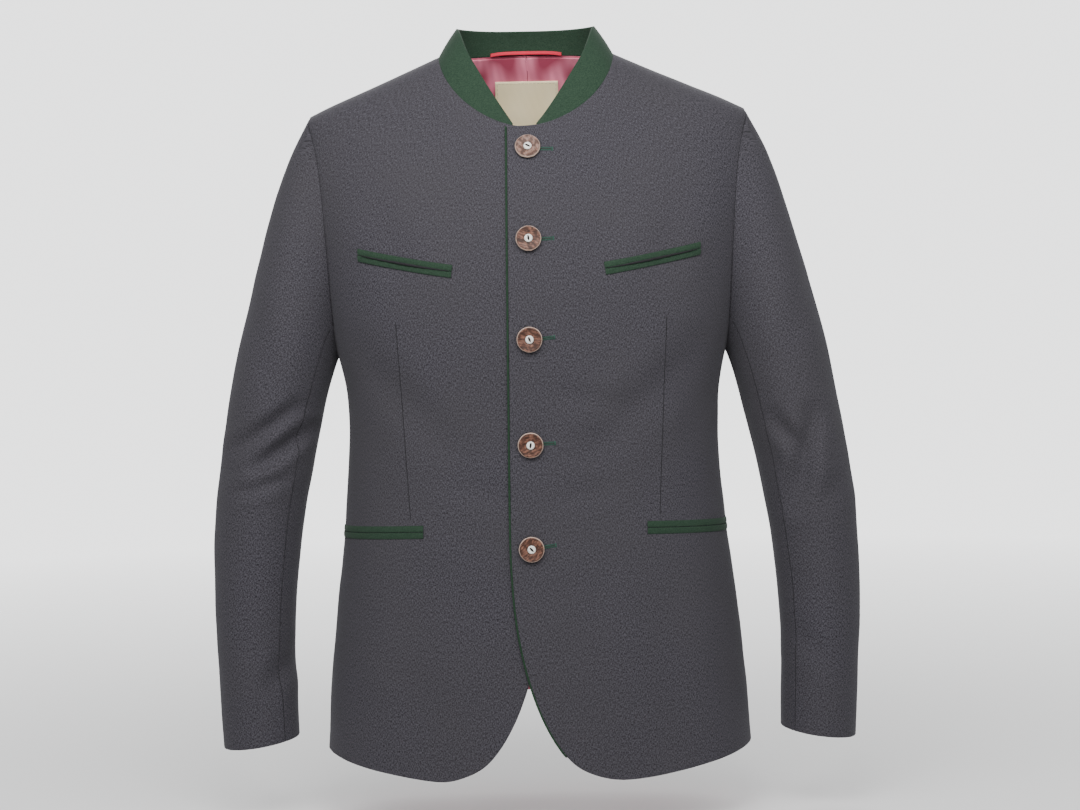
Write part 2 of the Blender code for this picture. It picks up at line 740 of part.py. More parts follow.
# Pieces that lie on the panels
def build_welts(name, side, start, end):
    """Upper and lower welt of one pocket, square to a slit between two surface places (angle, height)."""
    reach = torso_point(end[0], end[1], FRONT) - torso_point(start[0], start[1], FRONT)
    run = math.hypot(reach[0], reach[1])
    tilt = math.atan2(reach[2], run)
    angle_per_run = (end[0] - start[0]) / run
    for part, sign in (("upper", 1.0), ("lower", -1.0)):
        sections = []
        for share in np.linspace(0.0, 1.0, LIP_STEPS + 1):
            angle = start[0] + (end[0] - start[0]) * share
            height = start[1] + (end[1] - start[1]) * share
            section = []
            for across, out in LIP_PROFILE:
                off_slit = sign * (SLIT_HALF + across)
                turn = angle - off_slit * math.sin(tilt) * angle_per_run
                level = height + off_slit * math.cos(tilt)
                section.append(panel_point(turn, level, FRONT, side, -WELT_GAP - out)[0])
            sections.append(mirrored(section, side))
        add_loft(f"{name}_{part}", sections, "loden")


def build_pockets(side, name):
    """Slanted chest pocket and nearly level hip pocket of one front."""
    chest_start = (angle_at_x(CHEST_START_X[side], CHEST_START_HEIGHT, FRONT), CHEST_START_HEIGHT)
    chest_end = (angle_at_x(CHEST_END_X[side], CHEST_END_HEIGHT, FRONT), CHEST_END_HEIGHT)
    build_welts(f"chest_welt_{name}", side, chest_start, chest_end)
    hip_start = (angle_at_x(HIP_START_X, HIP_START_HEIGHT, FRONT), HIP_START_HEIGHT)
    hip_end = (angle_at_y(HIP_END_Y, HIP_END_HEIGHT, FRONT), HIP_END_HEIGHT)
    build_welts(f"hip_welt_{name}", side, hip_start, hip_end)


def build_buttons():
    """Buttons and their eyelets down the closing line."""
    for number, height in enumerate(BUTTON_HEIGHTS, start=1):
        angle = angle_at_x(closing_line(height), height, FRONT)
        origin, normal = panel_point(angle, height, FRONT, 1, -LAY_GAP)
        add_turned(f"button_{number}", BUTTON_PROFILE, BUTTON_SIDES, origin, normal, "horn")
        add_turned(f"eyelet_{number}", EYELET_PROFILE, EYELET_SIDES, origin, normal, "eyelet")


def build_piping(outer):
    """Round piping along the free edge of the front that lies over."""
    sections = []
    rows = [row for row in range(len(outer)) if outer[row, 0, 2] > PIPING_END]
    path = outer[rows, 0]
    tangents = np.gradient(path, axis=0)
    for row, tangent in zip(rows, tangents):
        tangent = unit(tangent)
        edge = outer[row, 0]
        away = edge - outer[row, 1]
        away = unit(away - tangent * np.dot(away, tangent))
        out = np.cross(tangent, away)
        out = out if out[1] < 0.0 else -out
        centre = edge - out * WALL / 2.0 + away * (SEAM_GAP + PIPING_RADIUS)
        turns = np.linspace(0.0, 2.0 * math.pi, PIPING_SIDES, endpoint=False)
        ring = [centre + PIPING_RADIUS * (away * math.cos(turn) + out * math.sin(turn)) for turn in turns]
        sections.append(ring)
    add_loft("front_piping", sections, "loden")


def build_hanger_loop():
    """Short tape loop along the back neck seam, standing off the collar between its ends."""
    sections = []
    for share in np.linspace(-1.0, 1.0, LOOP_STEPS + 1):
        x = LOOP_HALF_LENGTH * share
        neck = torso_point(angle_at_x(x, BACK_NECK_RISE, BACK), BACK_NECK_RISE, BACK)
        free = 1.0 - share ** 4
        near = neck[1] - COLLAR_WALL - LOOP_END_GAP - LOOP_STAND_OFF * free
        low = BACK_NECK_RISE + LOOP_RAISE - LOOP_HEIGHT * (1.0 - 0.5 * free)
        corners = ((near, low), (near - LOOP_WALL, low), (near - LOOP_WALL, low + LOOP_HEIGHT),
                   (near, low + LOOP_HEIGHT))
        sections.append([np.array((x, y, z)) for y, z in corners])
    add_loft("hanger_loop", sections, "crimson_tape")


def build_label():
    """Bare neck label on the lining."""
    depth = WALL + LAY_GAP + LINING_WALL + LABEL_GAP
    walls = []
    for inward in (depth, depth + LABEL_WALL):
        wall = []
        for height in np.linspace(LABEL_TOP, LABEL_BOTTOM, LABEL_STEPS + 1):
            row = []
            for x in np.linspace(-LABEL_HALF_WIDTH, LABEL_HALF_WIDTH, LABEL_STEPS + 1):
                row.append(panel_point(angle_at_x(x, height, BACK), height, BACK, 1, inward)[0])
            wall.append(row)
        walls.append(np.array(wall))
    add_wall("label", walls[0], walls[1], "label_cloth")


def clear_scene():
    """Remove what the start file holds."""
    for item in list(bpy.data.objects):
        bpy.data.objects.remove(item, do_unlink=True)


def build():
    """Make every piece of the jacket."""
    clear_scene()
    necks = {}
    for side, name in ((1, "left"), (-1, "right")):
        rings, normals = sleeve_rings(side)
        mitres = armhole_mitres(rings, normals)
        neck, outer, _ = build_panel(f"front_{name}", FRONT, side, FRONT_COLUMNS, mitres)
        necks[f"front_{name}"] = neck
        if side > 0:
            build_piping(outer)
        neck, _, grid = build_panel(f"back_{name}", BACK, side, BACK_COLUMNS, mitres)
        necks[f"back_{name}"] = neck
        build_lining(f"lining_{name}", side, grid)
        build_sleeve(side, name, rings, normals, mitres)
        build_pockets(side, name)
    build_collar(necks)
    build_buttons()
    build_hanger_loop()
    build_label()


build()
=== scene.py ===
"""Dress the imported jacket: wool shells with their creases, loden trim, satin lining, horn buttons, sewing."""
from __future__ import annotations

import logging
import math
from collections.abc import Collection, Sequence
from dataclasses import dataclass, field, replace
from enum import Enum
from functools import cache
from itertools import product

import bmesh
import bpy
from mathutils import Matrix, Vector, noise
from mathutils.bvhtree import BVHTree
from mathutils.kdtree import KDTree


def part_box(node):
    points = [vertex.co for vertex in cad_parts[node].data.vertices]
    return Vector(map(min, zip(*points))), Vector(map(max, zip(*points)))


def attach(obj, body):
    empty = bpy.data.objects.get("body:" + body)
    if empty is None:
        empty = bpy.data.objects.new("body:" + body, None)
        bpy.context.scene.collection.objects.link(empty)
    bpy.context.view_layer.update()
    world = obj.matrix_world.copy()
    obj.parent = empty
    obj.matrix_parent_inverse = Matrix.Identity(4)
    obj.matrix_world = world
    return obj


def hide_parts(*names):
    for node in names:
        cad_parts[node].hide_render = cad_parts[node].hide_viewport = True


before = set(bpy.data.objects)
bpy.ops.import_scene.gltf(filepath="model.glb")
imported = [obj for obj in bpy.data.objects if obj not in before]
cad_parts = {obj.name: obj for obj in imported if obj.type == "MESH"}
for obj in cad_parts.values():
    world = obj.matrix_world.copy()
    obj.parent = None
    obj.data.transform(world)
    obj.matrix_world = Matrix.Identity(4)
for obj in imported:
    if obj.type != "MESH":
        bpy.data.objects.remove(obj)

LOG = logging.getLogger("jacket")
SHARP_DEGREES = 50.0
AXIS_ROUNDS = 6
AXIS_FACING = 0.3
MM = 0.001
CUT_MAP = "cut"
GRAIN_MAP = "grain"
# Attribute of the shade painted on the welts' sides where they sink into the cloth.
PAINTED_SHADE = "painted_shade"
RIM = "rim"
TONE = "tone"
Colour = tuple[float, float, float]
Triple = tuple[float, float, float]


class Side(Enum):
    """A half of the jacket, by the wearer's own side."""

    LEFT = 1
    RIGHT = -1


class Face(Enum):
    """The side of the jacket that a crease shows on."""

    FRONT = -1
    BACK = 1


class Held(Enum):
    """How a sheet of cloth is kept in its form."""

    HUNG = "hung"
    LAID = "laid"


def ease(share: float) -> float:
    """Smooth step of a share held between 0 and 1."""
    share = min(max(share, 0.0), 1.0)
    return share * share * (3.0 - 2.0 * share)


@dataclass(frozen=True)
class Bump:
    """Strength of a bump, and its depth in metres."""

    strength: float
    depth: float


def swelling(share: float, end_share: float) -> float:
    """Share of its full size that a form has along its length, whole in the middle.

    Args:
        share: place along the form, 0 to 1.
        end_share: what is left at both ends.

    Returns:
        The share of the full size.
    """
    return end_share + (1.0 - end_share) * math.sin(math.pi * share)


class NodeBoard:
    """Short calls for laying out shader nodes in a material or a group."""

    # Sockets of a Mix node that mixes colours.
    MIX_INPUTS = (0, 6, 7)
    MIX_OUTPUT = 2

    def __init__(self, tree: bpy.types.NodeTree) -> None:
        """Keep the tree that the calls add to."""
        self.tree = tree

    def add(self, kind: str, inputs: dict | None = None, **options: object) -> bpy.types.Node:
        """Add a node.

        Args:
            kind: Blender's node type.
            inputs: values or output sockets by input name or index.
            options: attributes of the node.

        Returns:
            The new node.
        """
        node = self.tree.nodes.new(kind)
        for name, value in options.items():
            setattr(node, name, value)
        for key, value in (inputs or {}).items():
            if isinstance(value, bpy.types.NodeSocket):
                self.tree.links.new(value, node.inputs[key])
            else:
                node.inputs[key].default_value = value
        return node

    def object_place(self) -> bpy.types.NodeSocket:
        """Object coordinates."""
        return self.add("ShaderNodeTexCoord").outputs["Object"]

    def map_place(self, name: str) -> bpy.types.NodeSocket:
        """Coordinates of a flat map."""
        return self.add("ShaderNodeUVMap", uv_map=name).outputs["UV"]

    def attribute(self, name: str) -> bpy.types.NodeSocket:
        """Value of a mesh attribute."""
        return self.add("ShaderNodeAttribute", attribute_name=name).outputs["Fac"]

    def stretched(self, place: bpy.types.NodeSocket, scale: Triple,
                  turn: Triple = (0.0, 0.0, 0.0)) -> bpy.types.NodeSocket:
        """Coordinates turned and scaled.

        Args:
            place: coordinates.
            scale: factor along each axis.
            turn: angle about each axis.

        Returns:
            The new coordinates.
        """
        node = self.add("ShaderNodeMapping", {"Vector": place, "Rotation": turn, "Scale": scale})
        return node.outputs["Vector"]

    def noise(self, place: bpy.types.NodeSocket, scale: object, detail: float = 2.0,
              roughness: float = 0.5) -> bpy.types.NodeSocket:
        """Noise value at a place.

        Args:
            place: coordinates.
            scale: waves a metre, a value or a socket.
            detail: finer layers.
            roughness: strength of the finer layers.

        Returns:
            The noise value socket.
        """
        node = self.add("ShaderNodeTexNoise", {"Vector": place, "Scale": scale, "Detail": detail,
                                               "Roughness": roughness})
        return node.outputs["Fac"]

    def math(self, operation: str, *values: object) -> bpy.types.NodeSocket:
        """Result of a math node on values or sockets."""
        node = self.add("ShaderNodeMath", dict(enumerate(values)), operation=operation)
        return node.outputs["Value"]

    def weighed(self, *parts: tuple[bpy.types.NodeSocket, float]) -> bpy.types.NodeSocket:
        """Sum of values, each times its weight.

        Args:
            parts: each value's socket with its weight.

        Returns:
            The sum.
        """
        total, *others = (self.math("MULTIPLY", value, weight) for value, weight in parts)
        for other in others:
            total = self.math("ADD", total, other)
        return total

    def span(self, value: bpy.types.NodeSocket, low: float, high: float, to_low: float = 0.0,
             to_high: float = 1.0) -> bpy.types.NodeSocket:
        """Map a value's span to another, held at the ends.

        Args:
            value: the value's socket.
            low: start of its span.
            high: end of its span.
            to_low: result at the start.
            to_high: result at the end.

        Returns:
            The mapped value.
        """
        node = self.add("ShaderNodeMapRange", {"Value": value, "From Min": low, "From Max": high,
                                               "To Min": to_low, "To Max": to_high})
        return node.outputs["Result"]

    def mix(self, share: object, first: object, second: object) -> bpy.types.NodeSocket:
        """Mix two colours, each a value or a socket, by a share.

        Args:
            share: share of the second colour.
            first: the first colour.
            second: the second colour.

        Returns:
            The mixed colour.
        """
        colours = [part if isinstance(part, bpy.types.NodeSocket) else (*part, 1.0)
                   for part in (first, second)]
        inputs = dict(zip(self.MIX_INPUTS, (share, *colours)))
        return self.add("ShaderNodeMix", inputs, data_type="RGBA").outputs[self.MIX_OUTPUT]

    def surface(self, shader: bpy.types.Node, colour: bpy.types.NodeSocket, height: bpy.types.NodeSocket,
                bump: Bump) -> None:
        """Join a colour and a bump to a shader.

        Args:
            shader: the Principled shader.
            colour: its base colour.
            height: height that the bump follows.
            bump: the bump's strength and depth.
        """
        bumped = self.add("ShaderNodeBump", {"Height": height, "Strength": bump.strength,
                                             "Distance": bump.depth})
        self.tree.links.new(colour, shader.inputs["Base Color"])
        self.tree.links.new(bumped.outputs["Normal"], shader.inputs["Normal"])


class ClothGroup:
    """Shared shader group of a cloth: speckle, soft clouds and the height of its surface."""

    NAME: str
    SPECKLE: tuple[float, float]
    CLOUDS: float
    CLOUD_DETAIL = 3.0
    CLOUD_SPAN = (0.3, 0.7)

    @classmethod
    def height(cls, board: NodeBoard, scale: bpy.types.NodeSocket) -> bpy.types.NodeSocket:
        """Height of the cloth's surface at a scale."""
        raise NotImplementedError

    @classmethod
    def tree(cls) -> bpy.types.NodeTree:
        """The group's tree, built once.

        Returns:
            The group's tree.
        """
        found = bpy.data.node_groups.get(cls.NAME)
        if found:
            return found
        tree = bpy.data.node_groups.new(cls.NAME, "ShaderNodeTree")
        tree.interface.new_socket("Scale", in_out="INPUT", socket_type="NodeSocketFloat")
        for name in ("Speckle", "Cloud", "Height"):
            tree.interface.new_socket(name, in_out="OUTPUT", socket_type="NodeSocketFloat")
        board = NodeBoard(tree)
        height = cls.height(board, board.add("NodeGroupInput").outputs["Scale"])
        cloud = board.noise(board.object_place(), cls.CLOUDS, cls.CLOUD_DETAIL)
        out = board.add("NodeGroupOutput")
        tree.links.new(board.span(height, *cls.SPECKLE), out.inputs["Speckle"])
        tree.links.new(board.span(cloud, *cls.CLOUD_SPAN), out.inputs["Cloud"])
        tree.links.new(height, out.inputs["Height"])
        return tree

    @classmethod
    def place(cls, board: NodeBoard, scale: float) -> bpy.types.Node:
        """Place the group in a material with its own scale."""
        return board.add("ShaderNodeGroup", {"Scale": scale}, node_tree=cls.tree())


class FibreGroup(ClothGroup):
    """Milled wool, with fibres that lie along a slant."""

    NAME = "wool_fibres"
    SPECKLE = (0.36, 0.66)
    CLOUDS = 11.0
    SLANT = (0.0, 0.5, 0.0)
    STRETCH = (1.0, 1.0, 0.45)
    ROUGHNESS = 0.65
    COARSE = 0.38
    WEIGHTS = (0.6, 0.4)

    @classmethod
    def height(cls, board: NodeBoard, scale: bpy.types.NodeSocket) -> bpy.types.NodeSocket:
        """Fine slanting fibres over coarser ones.

        Args:
            board: the board of the group or material.
            scale: the group's scale.

        Returns:
            The height's socket.
        """
        place = board.object_place()
        fine = board.noise(board.stretched(place, cls.STRETCH, cls.SLANT), scale, roughness=cls.ROUGHNESS)
        coarse = board.noise(place, board.math("MULTIPLY", scale, cls.COARSE))
        return board.weighed(*zip((fine, coarse), cls.WEIGHTS))


class WeaveGroup(ClothGroup):
    """Plain weave, with uneven warp and weft threads on the piece's cut."""

    NAME = "plain_weave"
    SPECKLE = (0.41, 0.60)
    CLOUDS = 9.0
    STRETCHES = ((1.0, 0.30, 1.0), (0.36, 1.0, 1.0))
    ROUGHNESS = 0.6
    KNOTS = 1.5
    KNOT_DETAIL = 1.0
    WEIGHTS = (0.42, 0.33, 0.25)

    @classmethod
    def height(cls, board: NodeBoard, scale: bpy.types.NodeSocket) -> bpy.types.NodeSocket:
        """Warp and weft threads with small knots.

        Args:
            board: the board of the group or material.
            scale: the group's scale.

        Returns:
            The height's socket.
        """
        place = board.map_place(CUT_MAP)
        threads = [board.noise(board.stretched(place, stretch), scale, roughness=cls.ROUGHNESS)
                   for stretch in cls.STRETCHES]
        knots = board.noise(place, board.math("MULTIPLY", scale, cls.KNOTS), cls.KNOT_DETAIL)
        return board.weighed(*zip((*threads, knots), cls.WEIGHTS))


@dataclass(frozen=True)
class Finish:
    """A finish of the jacket, kept as one material."""

    name: str

    def material(self) -> bpy.types.Material:
        """The finish's material, built once.

        Returns:
            The material.
        """
        found = bpy.data.materials.get(self.name)
        if found:
            return found
        material = bpy.data.materials.new(self.name)
        material.use_nodes = True
        self.lay(NodeBoard(material.node_tree), material.node_tree.nodes["Principled BSDF"])
        return material

    def lay(self, board: NodeBoard, shader: bpy.types.Node) -> None:
        """Lay out the finish's nodes.

        Args:
            board: the board of its material.
            shader: the material's Principled shader.
        """
        raise NotImplementedError


@dataclass(frozen=True)
class NapCloth(Finish):
    """Milled cloth with a fibre speckle and a soft nap."""

    dark: Colour
    light: Colour
    worn: Colour
    scale: float
    group: type[ClothGroup] = FibreGroup
    bump: Bump = Bump(0.3, 0.0006)
    sheen: float = 0.12
    sheen_tint: Colour = (0.7, 0.7, 0.75)
    sheen_roughness: float = 0.5
    cloud_share: float = 0.35
    painted_shade_share: float = 0.25
    roughness: float = 0.92
    gloss: float = 0.2

    def lay(self, board: NodeBoard, shader: bpy.types.Node) -> None:
        """Speckle, worn clouds and painted shade on the sides that sink into the cloth, with a nap.

        Args:
            board: the board of the group or material.
            shader: the material's Principled shader.
        """
        cloth = self.group.place(board, self.scale).outputs
        speckled = board.mix(cloth["Speckle"], self.dark, self.light)
        clouded = board.mix(board.math("MULTIPLY", cloth["Cloud"], self.cloud_share), speckled, self.worn)
        # Painted shade: the dark colour, dimmed further, on the sides marked as sinking into the cloth.
        painted_shade = tuple(self.painted_shade_share * part for part in self.dark)
        board.surface(shader, board.mix(board.attribute(PAINTED_SHADE), clouded, painted_shade), cloth["Height"], self.bump)
        shader.inputs["Roughness"].default_value = self.roughness
        shader.inputs["Specular IOR Level"].default_value = self.gloss
        shader.inputs["Sheen Weight"].default_value = self.sheen
        shader.inputs["Sheen Roughness"].default_value = self.sheen_roughness
        shader.inputs["Sheen Tint"].default_value = (*self.sheen_tint, 1.0)


@dataclass(frozen=True)
class SatinCloth(Finish):
    """Smooth woven satin with fine twill lines and soft ripples, whose light and shade are painted into its
    colour.
    """

    # colour is the painted lit tone of the ripples; shade is their painted shaded tone and also the twill
    # lines' darker pattern tone.
    colour: Colour
    shade: Colour
    roughness: float
    sheen: float = 0.1
    hang: Triple = (1.0, 1.0, 0.4)
    ripple: float = 38.0
    ripple_shade_span: tuple[float, float] = (0.38, 0.60)
    twill: float = 75.0
    twill_waver: float = 0.6
    twill_share: float = 0.18
    twill_height: float = 0.05
    gloss_span: tuple[float, float] = (0.2, 0.8)
    smoother: float = 0.06
    rougher: float = 0.08
    bump: Bump = Bump(0.25, 0.004)

    def lay(self, board: NodeBoard, shader: bpy.types.Node) -> None:
        """Hanging ripples, painted as light and shade into the colour, under diagonal twill lines.

        Args:
            board: the board of the group or material.
            shader: the material's Principled shader.
        """
        place = board.object_place()
        ripples = board.noise(board.stretched(place, self.hang), self.ripple, 0.0)
        lines = board.add("ShaderNodeTexWave", {"Vector": place, "Scale": self.twill, "Detail": 1.0,
                                                "Distortion": self.twill_waver},
                          bands_direction="DIAGONAL").outputs["Fac"]
        # Painted light and shade of the ripples.
        colour = board.mix(board.span(ripples, *self.ripple_shade_span), self.shade, self.colour)
        colour = board.mix(board.math("MULTIPLY", lines, self.twill_share), colour, self.shade)
        height = board.math("ADD", board.math("MULTIPLY", lines, self.twill_height), ripples)
        board.surface(shader, colour, height, self.bump)
        rough = board.span(ripples, *self.gloss_span, self.roughness - self.smoother,
                           self.roughness + self.rougher)
        board.tree.links.new(rough, shader.inputs["Roughness"])
        shader.inputs["Sheen Weight"].default_value = self.sheen


@dataclass(frozen=True)
class HornFinish(Finish):
    """Mottled stag horn with a pale rim and a soft gloss."""

    name: str = "stag_horn"
    brown: Colour = (0.062, 0.021, 0.012)
    streak: Colour = (0.240, 0.104, 0.066)
    dark: Colour = (0.026, 0.009, 0.005)
    bone: Colour = (0.34, 0.235, 0.195)
    pale: Colour = (0.66, 0.49, 0.40)
    grain_stretch: Triple = (0.24, 1.0, 1.0)
    grain: tuple[float, float] = (620.0, 4.0)
    patches: tuple[float, float] = (240.0, 3.0)
    grain_span: tuple[float, float] = (0.43, 0.62)
    dark_span: tuple[float, float, float, float] = (0.46, 0.58, 0.0, 0.8)
    bone_span: tuple[float, float, float, float] = (0.34, 0.52, 1.0, 0.25)
    rim_span: tuple[float, float] = (0.92, 0.97)
    rim_wear: tuple[float, float, float, float] = (0.25, 0.6, 0.55, 0.95)
    rough_span: tuple[float, float, float, float] = (0.3, 0.7, 0.42, 0.58)
    bump: Bump = Bump(0.35, 0.0005)
    gloss: float = 0.3

    def lay(self, board: NodeBoard, shader: bpy.types.Node) -> None:
        """Streaked grain, dark and bony patches, and the worn rim.

        Args:
            board: the board of the group or material.
            shader: the material's Principled shader.
        """
        place = board.map_place(GRAIN_MAP)
        grain = board.noise(board.stretched(place, self.grain_stretch), *self.grain)
        patches = board.noise(place, *self.patches)
        colour = board.mix(board.span(grain, *self.grain_span), self.brown, self.streak)
        colour = board.mix(board.span(patches, *self.dark_span), colour, self.dark)
        bony = board.math("MULTIPLY", board.attribute(TONE), board.span(patches, *self.bone_span))
        colour = board.mix(bony, colour, self.bone)
        rim = board.span(board.attribute(RIM), *self.rim_span)
        worn = board.math("MULTIPLY", rim, board.span(patches, *self.rim_wear))
        colour = board.mix(worn, colour, self.pale)
        board.surface(shader, colour, grain, self.bump)
        board.tree.links.new(board.span(patches, *self.rough_span), shader.inputs["Roughness"])
        shader.inputs["Specular IOR Level"].default_value = self.gloss


@dataclass(frozen=True)
class SmoothFinish(Finish):
    """Plain smooth or threadlike finish with slight unevenness."""

    colour: Colour
    shade: Colour
    roughness: float
    scale: float = 500.0
    span: tuple[float, float] = (0.35, 0.65)
    bump: Bump = Bump(0.2, 0.0004)

    def lay(self, board: NodeBoard, shader: bpy.types.Node) -> None:
        """Fine unevenness between the colour and its shade.

        Args:
            board: the board of the group or material.
            shader: the material's Principled shader.
        """
        grain = board.noise(board.object_place(), self.scale)
        colour = board.mix(board.span(grain, *self.span), self.shade, self.colour)
        board.surface(shader, colour, grain, self.bump)
        shader.inputs["Roughness"].default_value = self.roughness


@dataclass(frozen=True)
class FloorFinish(Finish):
    """Pale floor that fades into the surroundings away from the jacket."""

    name: str = "pale_floor"
    colour: Colour = (0.74, 0.74, 0.74)
    patches: float = 4.0
    patch_share: float = 0.97
    near: float = 0.5
    far: float = 2.6
    roughness: float = 0.9

    def lay(self, board: NodeBoard, shader: bpy.types.Node) -> None:
        """Faint patches, clear far away.

        Args:
            board: the board of the group or material.
            shader: the material's Principled shader.
        """
        place = board.object_place()
        away = board.add("ShaderNodeVectorMath", {0: place}, operation="LENGTH").outputs["Value"]
        patch = tuple(self.patch_share * part for part in self.colour)
        tint = board.mix(board.noise(place, self.patches), self.colour, patch)
        board.tree.links.new(tint, shader.inputs["Base Color"])
        board.tree.links.new(board.span(away, self.near, self.far, 1.0, 0.0), shader.inputs["Alpha"])
        shader.inputs["Roughness"].default_value = self.roughness


WOOL = NapCloth("charcoal_wool", (0.007, 0.0064, 0.0085), (0.098, 0.092, 0.110), (0.052, 0.049, 0.052),
                scale=1450.0, group=WeaveGroup, bump=Bump(0.14, 0.0006))
LODEN = NapCloth("green_loden", (0.010, 0.028, 0.0155), (0.035, 0.065, 0.041), (0.0205, 0.0435, 0.0265),
                 scale=1900.0, sheen_tint=(0.65, 0.75, 0.68))
PIPING = NapCloth("piping_loden", (0.008, 0.024, 0.012), (0.026, 0.062, 0.033), (0.016, 0.042, 0.022),
                  scale=1900.0, sheen=0.08, sheen_tint=(0.6, 0.8, 0.65))
# Second colour of each satin: the painted shade of its ripples.
LINING = SatinCloth("rose_satin", (0.88, 0.27, 0.385), (0.36, 0.055, 0.100), roughness=0.40)
TAPE = SatinCloth("crimson_tape", (0.52, 0.008, 0.036), (0.36, 0.005, 0.024), roughness=0.75, sheen=0.0)
LABEL_CLOTH = SatinCloth("cream_label", (0.95, 0.86, 0.55), (0.92, 0.82, 0.50), roughness=0.6)
HORN = HornFinish()
EYELET = SmoothFinish("eyelet_white", (0.90, 0.88, 0.84), (0.78, 0.74, 0.68), roughness=0.35)
BUTTONHOLE_THREAD = SmoothFinish("green_thread", (0.022, 0.092, 0.062), (0.012, 0.050, 0.034),
                                 roughness=0.7, scale=2500.0)
# Dark colour painted as the shade inside the eyelets' slots and the buttonholes' slits.
SLIT_SHADE = SmoothFinish("painted_slit_shade", (0.030, 0.022, 0.018), (0.012, 0.010, 0.009),
                           roughness=0.7, scale=2500.0)
# Dark line painted as the shade in the seams' grooves, along the darts and in the pockets' slits.
SHADE_LINE = SmoothFinish("painted_shade_line", (0.013, 0.012, 0.015), (0.007, 0.0065, 0.008),
                           roughness=0.9, scale=1800.0)
ROSE_THREAD = SmoothFinish("rose_thread", (0.34, 0.095, 0.125), (0.24, 0.060, 0.080),
                           roughness=0.6, scale=1800.0)
CREAM_THREAD = SmoothFinish("cream_thread", (0.62, 0.54, 0.36), (0.50, 0.42, 0.27),
                            roughness=0.7, scale=1800.0)
FLOOR = FloorFinish()


@dataclass(frozen=True)
class Crease:
    """A soft trough seen from the front or back, with a low ridge along each side.

    Places are X and Z in metres, as are depth and width. Reach and ridge_at are in widths.
    """

    face: Face
    start: tuple[float, float]
    end: tuple[float, float]
    depth: float
    width: float
    ridge: float = 0.45
    ridge_at: float = 1.9
    reach: float = 4.0
    end_share: float = 0.35
    wander: float = 0.25
    wander_waves: float = 30.0
    wander_layer: float = 3.0

    def depth_at(self, x: float, z: float) -> float:
        """Inward depth at a place in the front view.

        Args:
            x: place across.
            z: height.

        Returns:
            The depth in metres, below 0 on a ridge.
        """
        run_x, run_z = self.end[0] - self.start[0], self.end[1] - self.start[1]
        length_sq = run_x * run_x + run_z * run_z
        along = ((x - self.start[0]) * run_x + (z - self.start[1]) * run_z) / length_sq
        held = min(max(along, 0.0), 1.0)
        gap = math.hypot(x - self.start[0] - held * run_x, z - self.start[1] - held * run_z)
        if gap > self.reach * self.width:
            return 0.0
        taper = swelling(held, self.end_share)
        spot = Vector((x * self.wander_waves, z * self.wander_waves, self.wander_layer))
        wander = 1.0 + self.wander * noise.noise(spot)
        trough = math.exp(-(gap / self.width) ** 2)
        ridge = self.ridge * math.exp(-((gap - self.ridge_at * self.width) / self.width) ** 2)
        return self.depth * taper * wander * (trough - ridge)


@dataclass(frozen=True)
class Drape:
    """How a part of the jacket's cloth moves off its plain form."""

    creases: tuple[Crease, ...]
    uneven: float = 0.0011
    uneven_size: float = 0.075
    fine_share: float = 0.5
    fine_size: float = 0.45
    pucker: float = 0.0
    pucker_size: float = 0.022
    pucker_stretch: float = 0.35

    def outward(self, point: Vector) -> Vector:
        """Direction out of the cloth at a point."""
        raise NotImplementedError

    def strength(self, point: Vector) -> float:
        """Share of the drape left near the seams with other parts."""
        raise NotImplementedError

    def faces(self, face: Face, point: Vector) -> float:
        """Share of a crease's face at a point."""
        raise NotImplementedError

    def cut_place(self, point: Vector) -> tuple[float, float]:
        """Place of a point on the flat cloth, round and down the form."""
        raise NotImplementedError

    def offset(self, point: Vector) -> Vector:
        """Move of a point off the plain form.

        Args:
            point: place in the row frame.

        Returns:
            The move in metres.
        """
        inward = 0.0
        for crease in self.creases:
            share = self.faces(crease.face, point)
            if share > 0.0:
                inward += share * crease.depth_at(point.x, point.z)
        slow = noise.noise(point / self.uneven_size)
        slow += self.fine_share * noise.noise(point / (self.fine_size * self.uneven_size))
        hanging = Vector((point.x, point.y, self.pucker_stretch * point.z))
        gather = self.pucker * abs(noise.noise(hanging / self.pucker_size))
        return self.outward(point) * (self.strength(point) * (self.uneven * slow - inward) - gather)


ARMHOLE_TOP = (0.222, -0.058)
ARMHOLE_LOW = (0.198, -0.305)


def armhole_x(z: float) -> float:
    """Distance of the armhole from the centre plane at a height."""
    share = (z - ARMHOLE_TOP[1]) / (ARMHOLE_LOW[1] - ARMHOLE_TOP[1])
    return ARMHOLE_TOP[0] + (ARMHOLE_LOW[0] - ARMHOLE_TOP[0]) * min(max(share, 0.0), 1.0)


@dataclass(frozen=True)
class TorsoDrape(Drape):
    """Drape of the fronts and the back, still at the neck and armholes."""

    half_width: float = 0.205
    half_depth: float = 0.120
    fade: float = 0.035
    neck_half: tuple[float, float] = (0.089, 0.062)
    neck_y: float = -0.010
    neck_low: float = -0.12
    neck_still: float = 1.05
    neck_fade: float = 0.5
    face_depth: float = 0.03
    cut_radius: float = 0.19

    def outward(self, point: Vector) -> Vector:
        """Direction out of the torso's oval section."""
        return Vector((point.x / self.half_width ** 2, point.y / self.half_depth ** 2, 0.0)).normalized()

    def strength(self, point: Vector) -> float:
        """Fade toward the neck seam and the armholes.

        Args:
            point: place in the row frame.

        Returns:
            The share, 0 to 1.
        """
        neck = math.hypot(point.x / self.neck_half[0], (point.y - self.neck_y) / self.neck_half[1])
        share = ease((neck - self.neck_still) / self.neck_fade) if point.z > self.neck_low else 1.0
        if point.z > ARMHOLE_LOW[1] - self.fade:
            reach = (armhole_x(point.z) - abs(point.x)) / self.fade
            low = (ARMHOLE_LOW[1] - point.z) / self.fade
            share *= max(ease(reach), ease(low))
        return share

    def faces(self, face: Face, point: Vector) -> float:
        """Share of the front or back."""
        return ease(face.value * point.y / self.face_depth)

    def cut_place(self, point: Vector) -> tuple[float, float]:
        """Place round the torso's oval and down it."""
        turn = math.atan2(point.x / self.half_width, abs(point.y) / self.half_depth)
        return self.cut_radius * turn, point.z


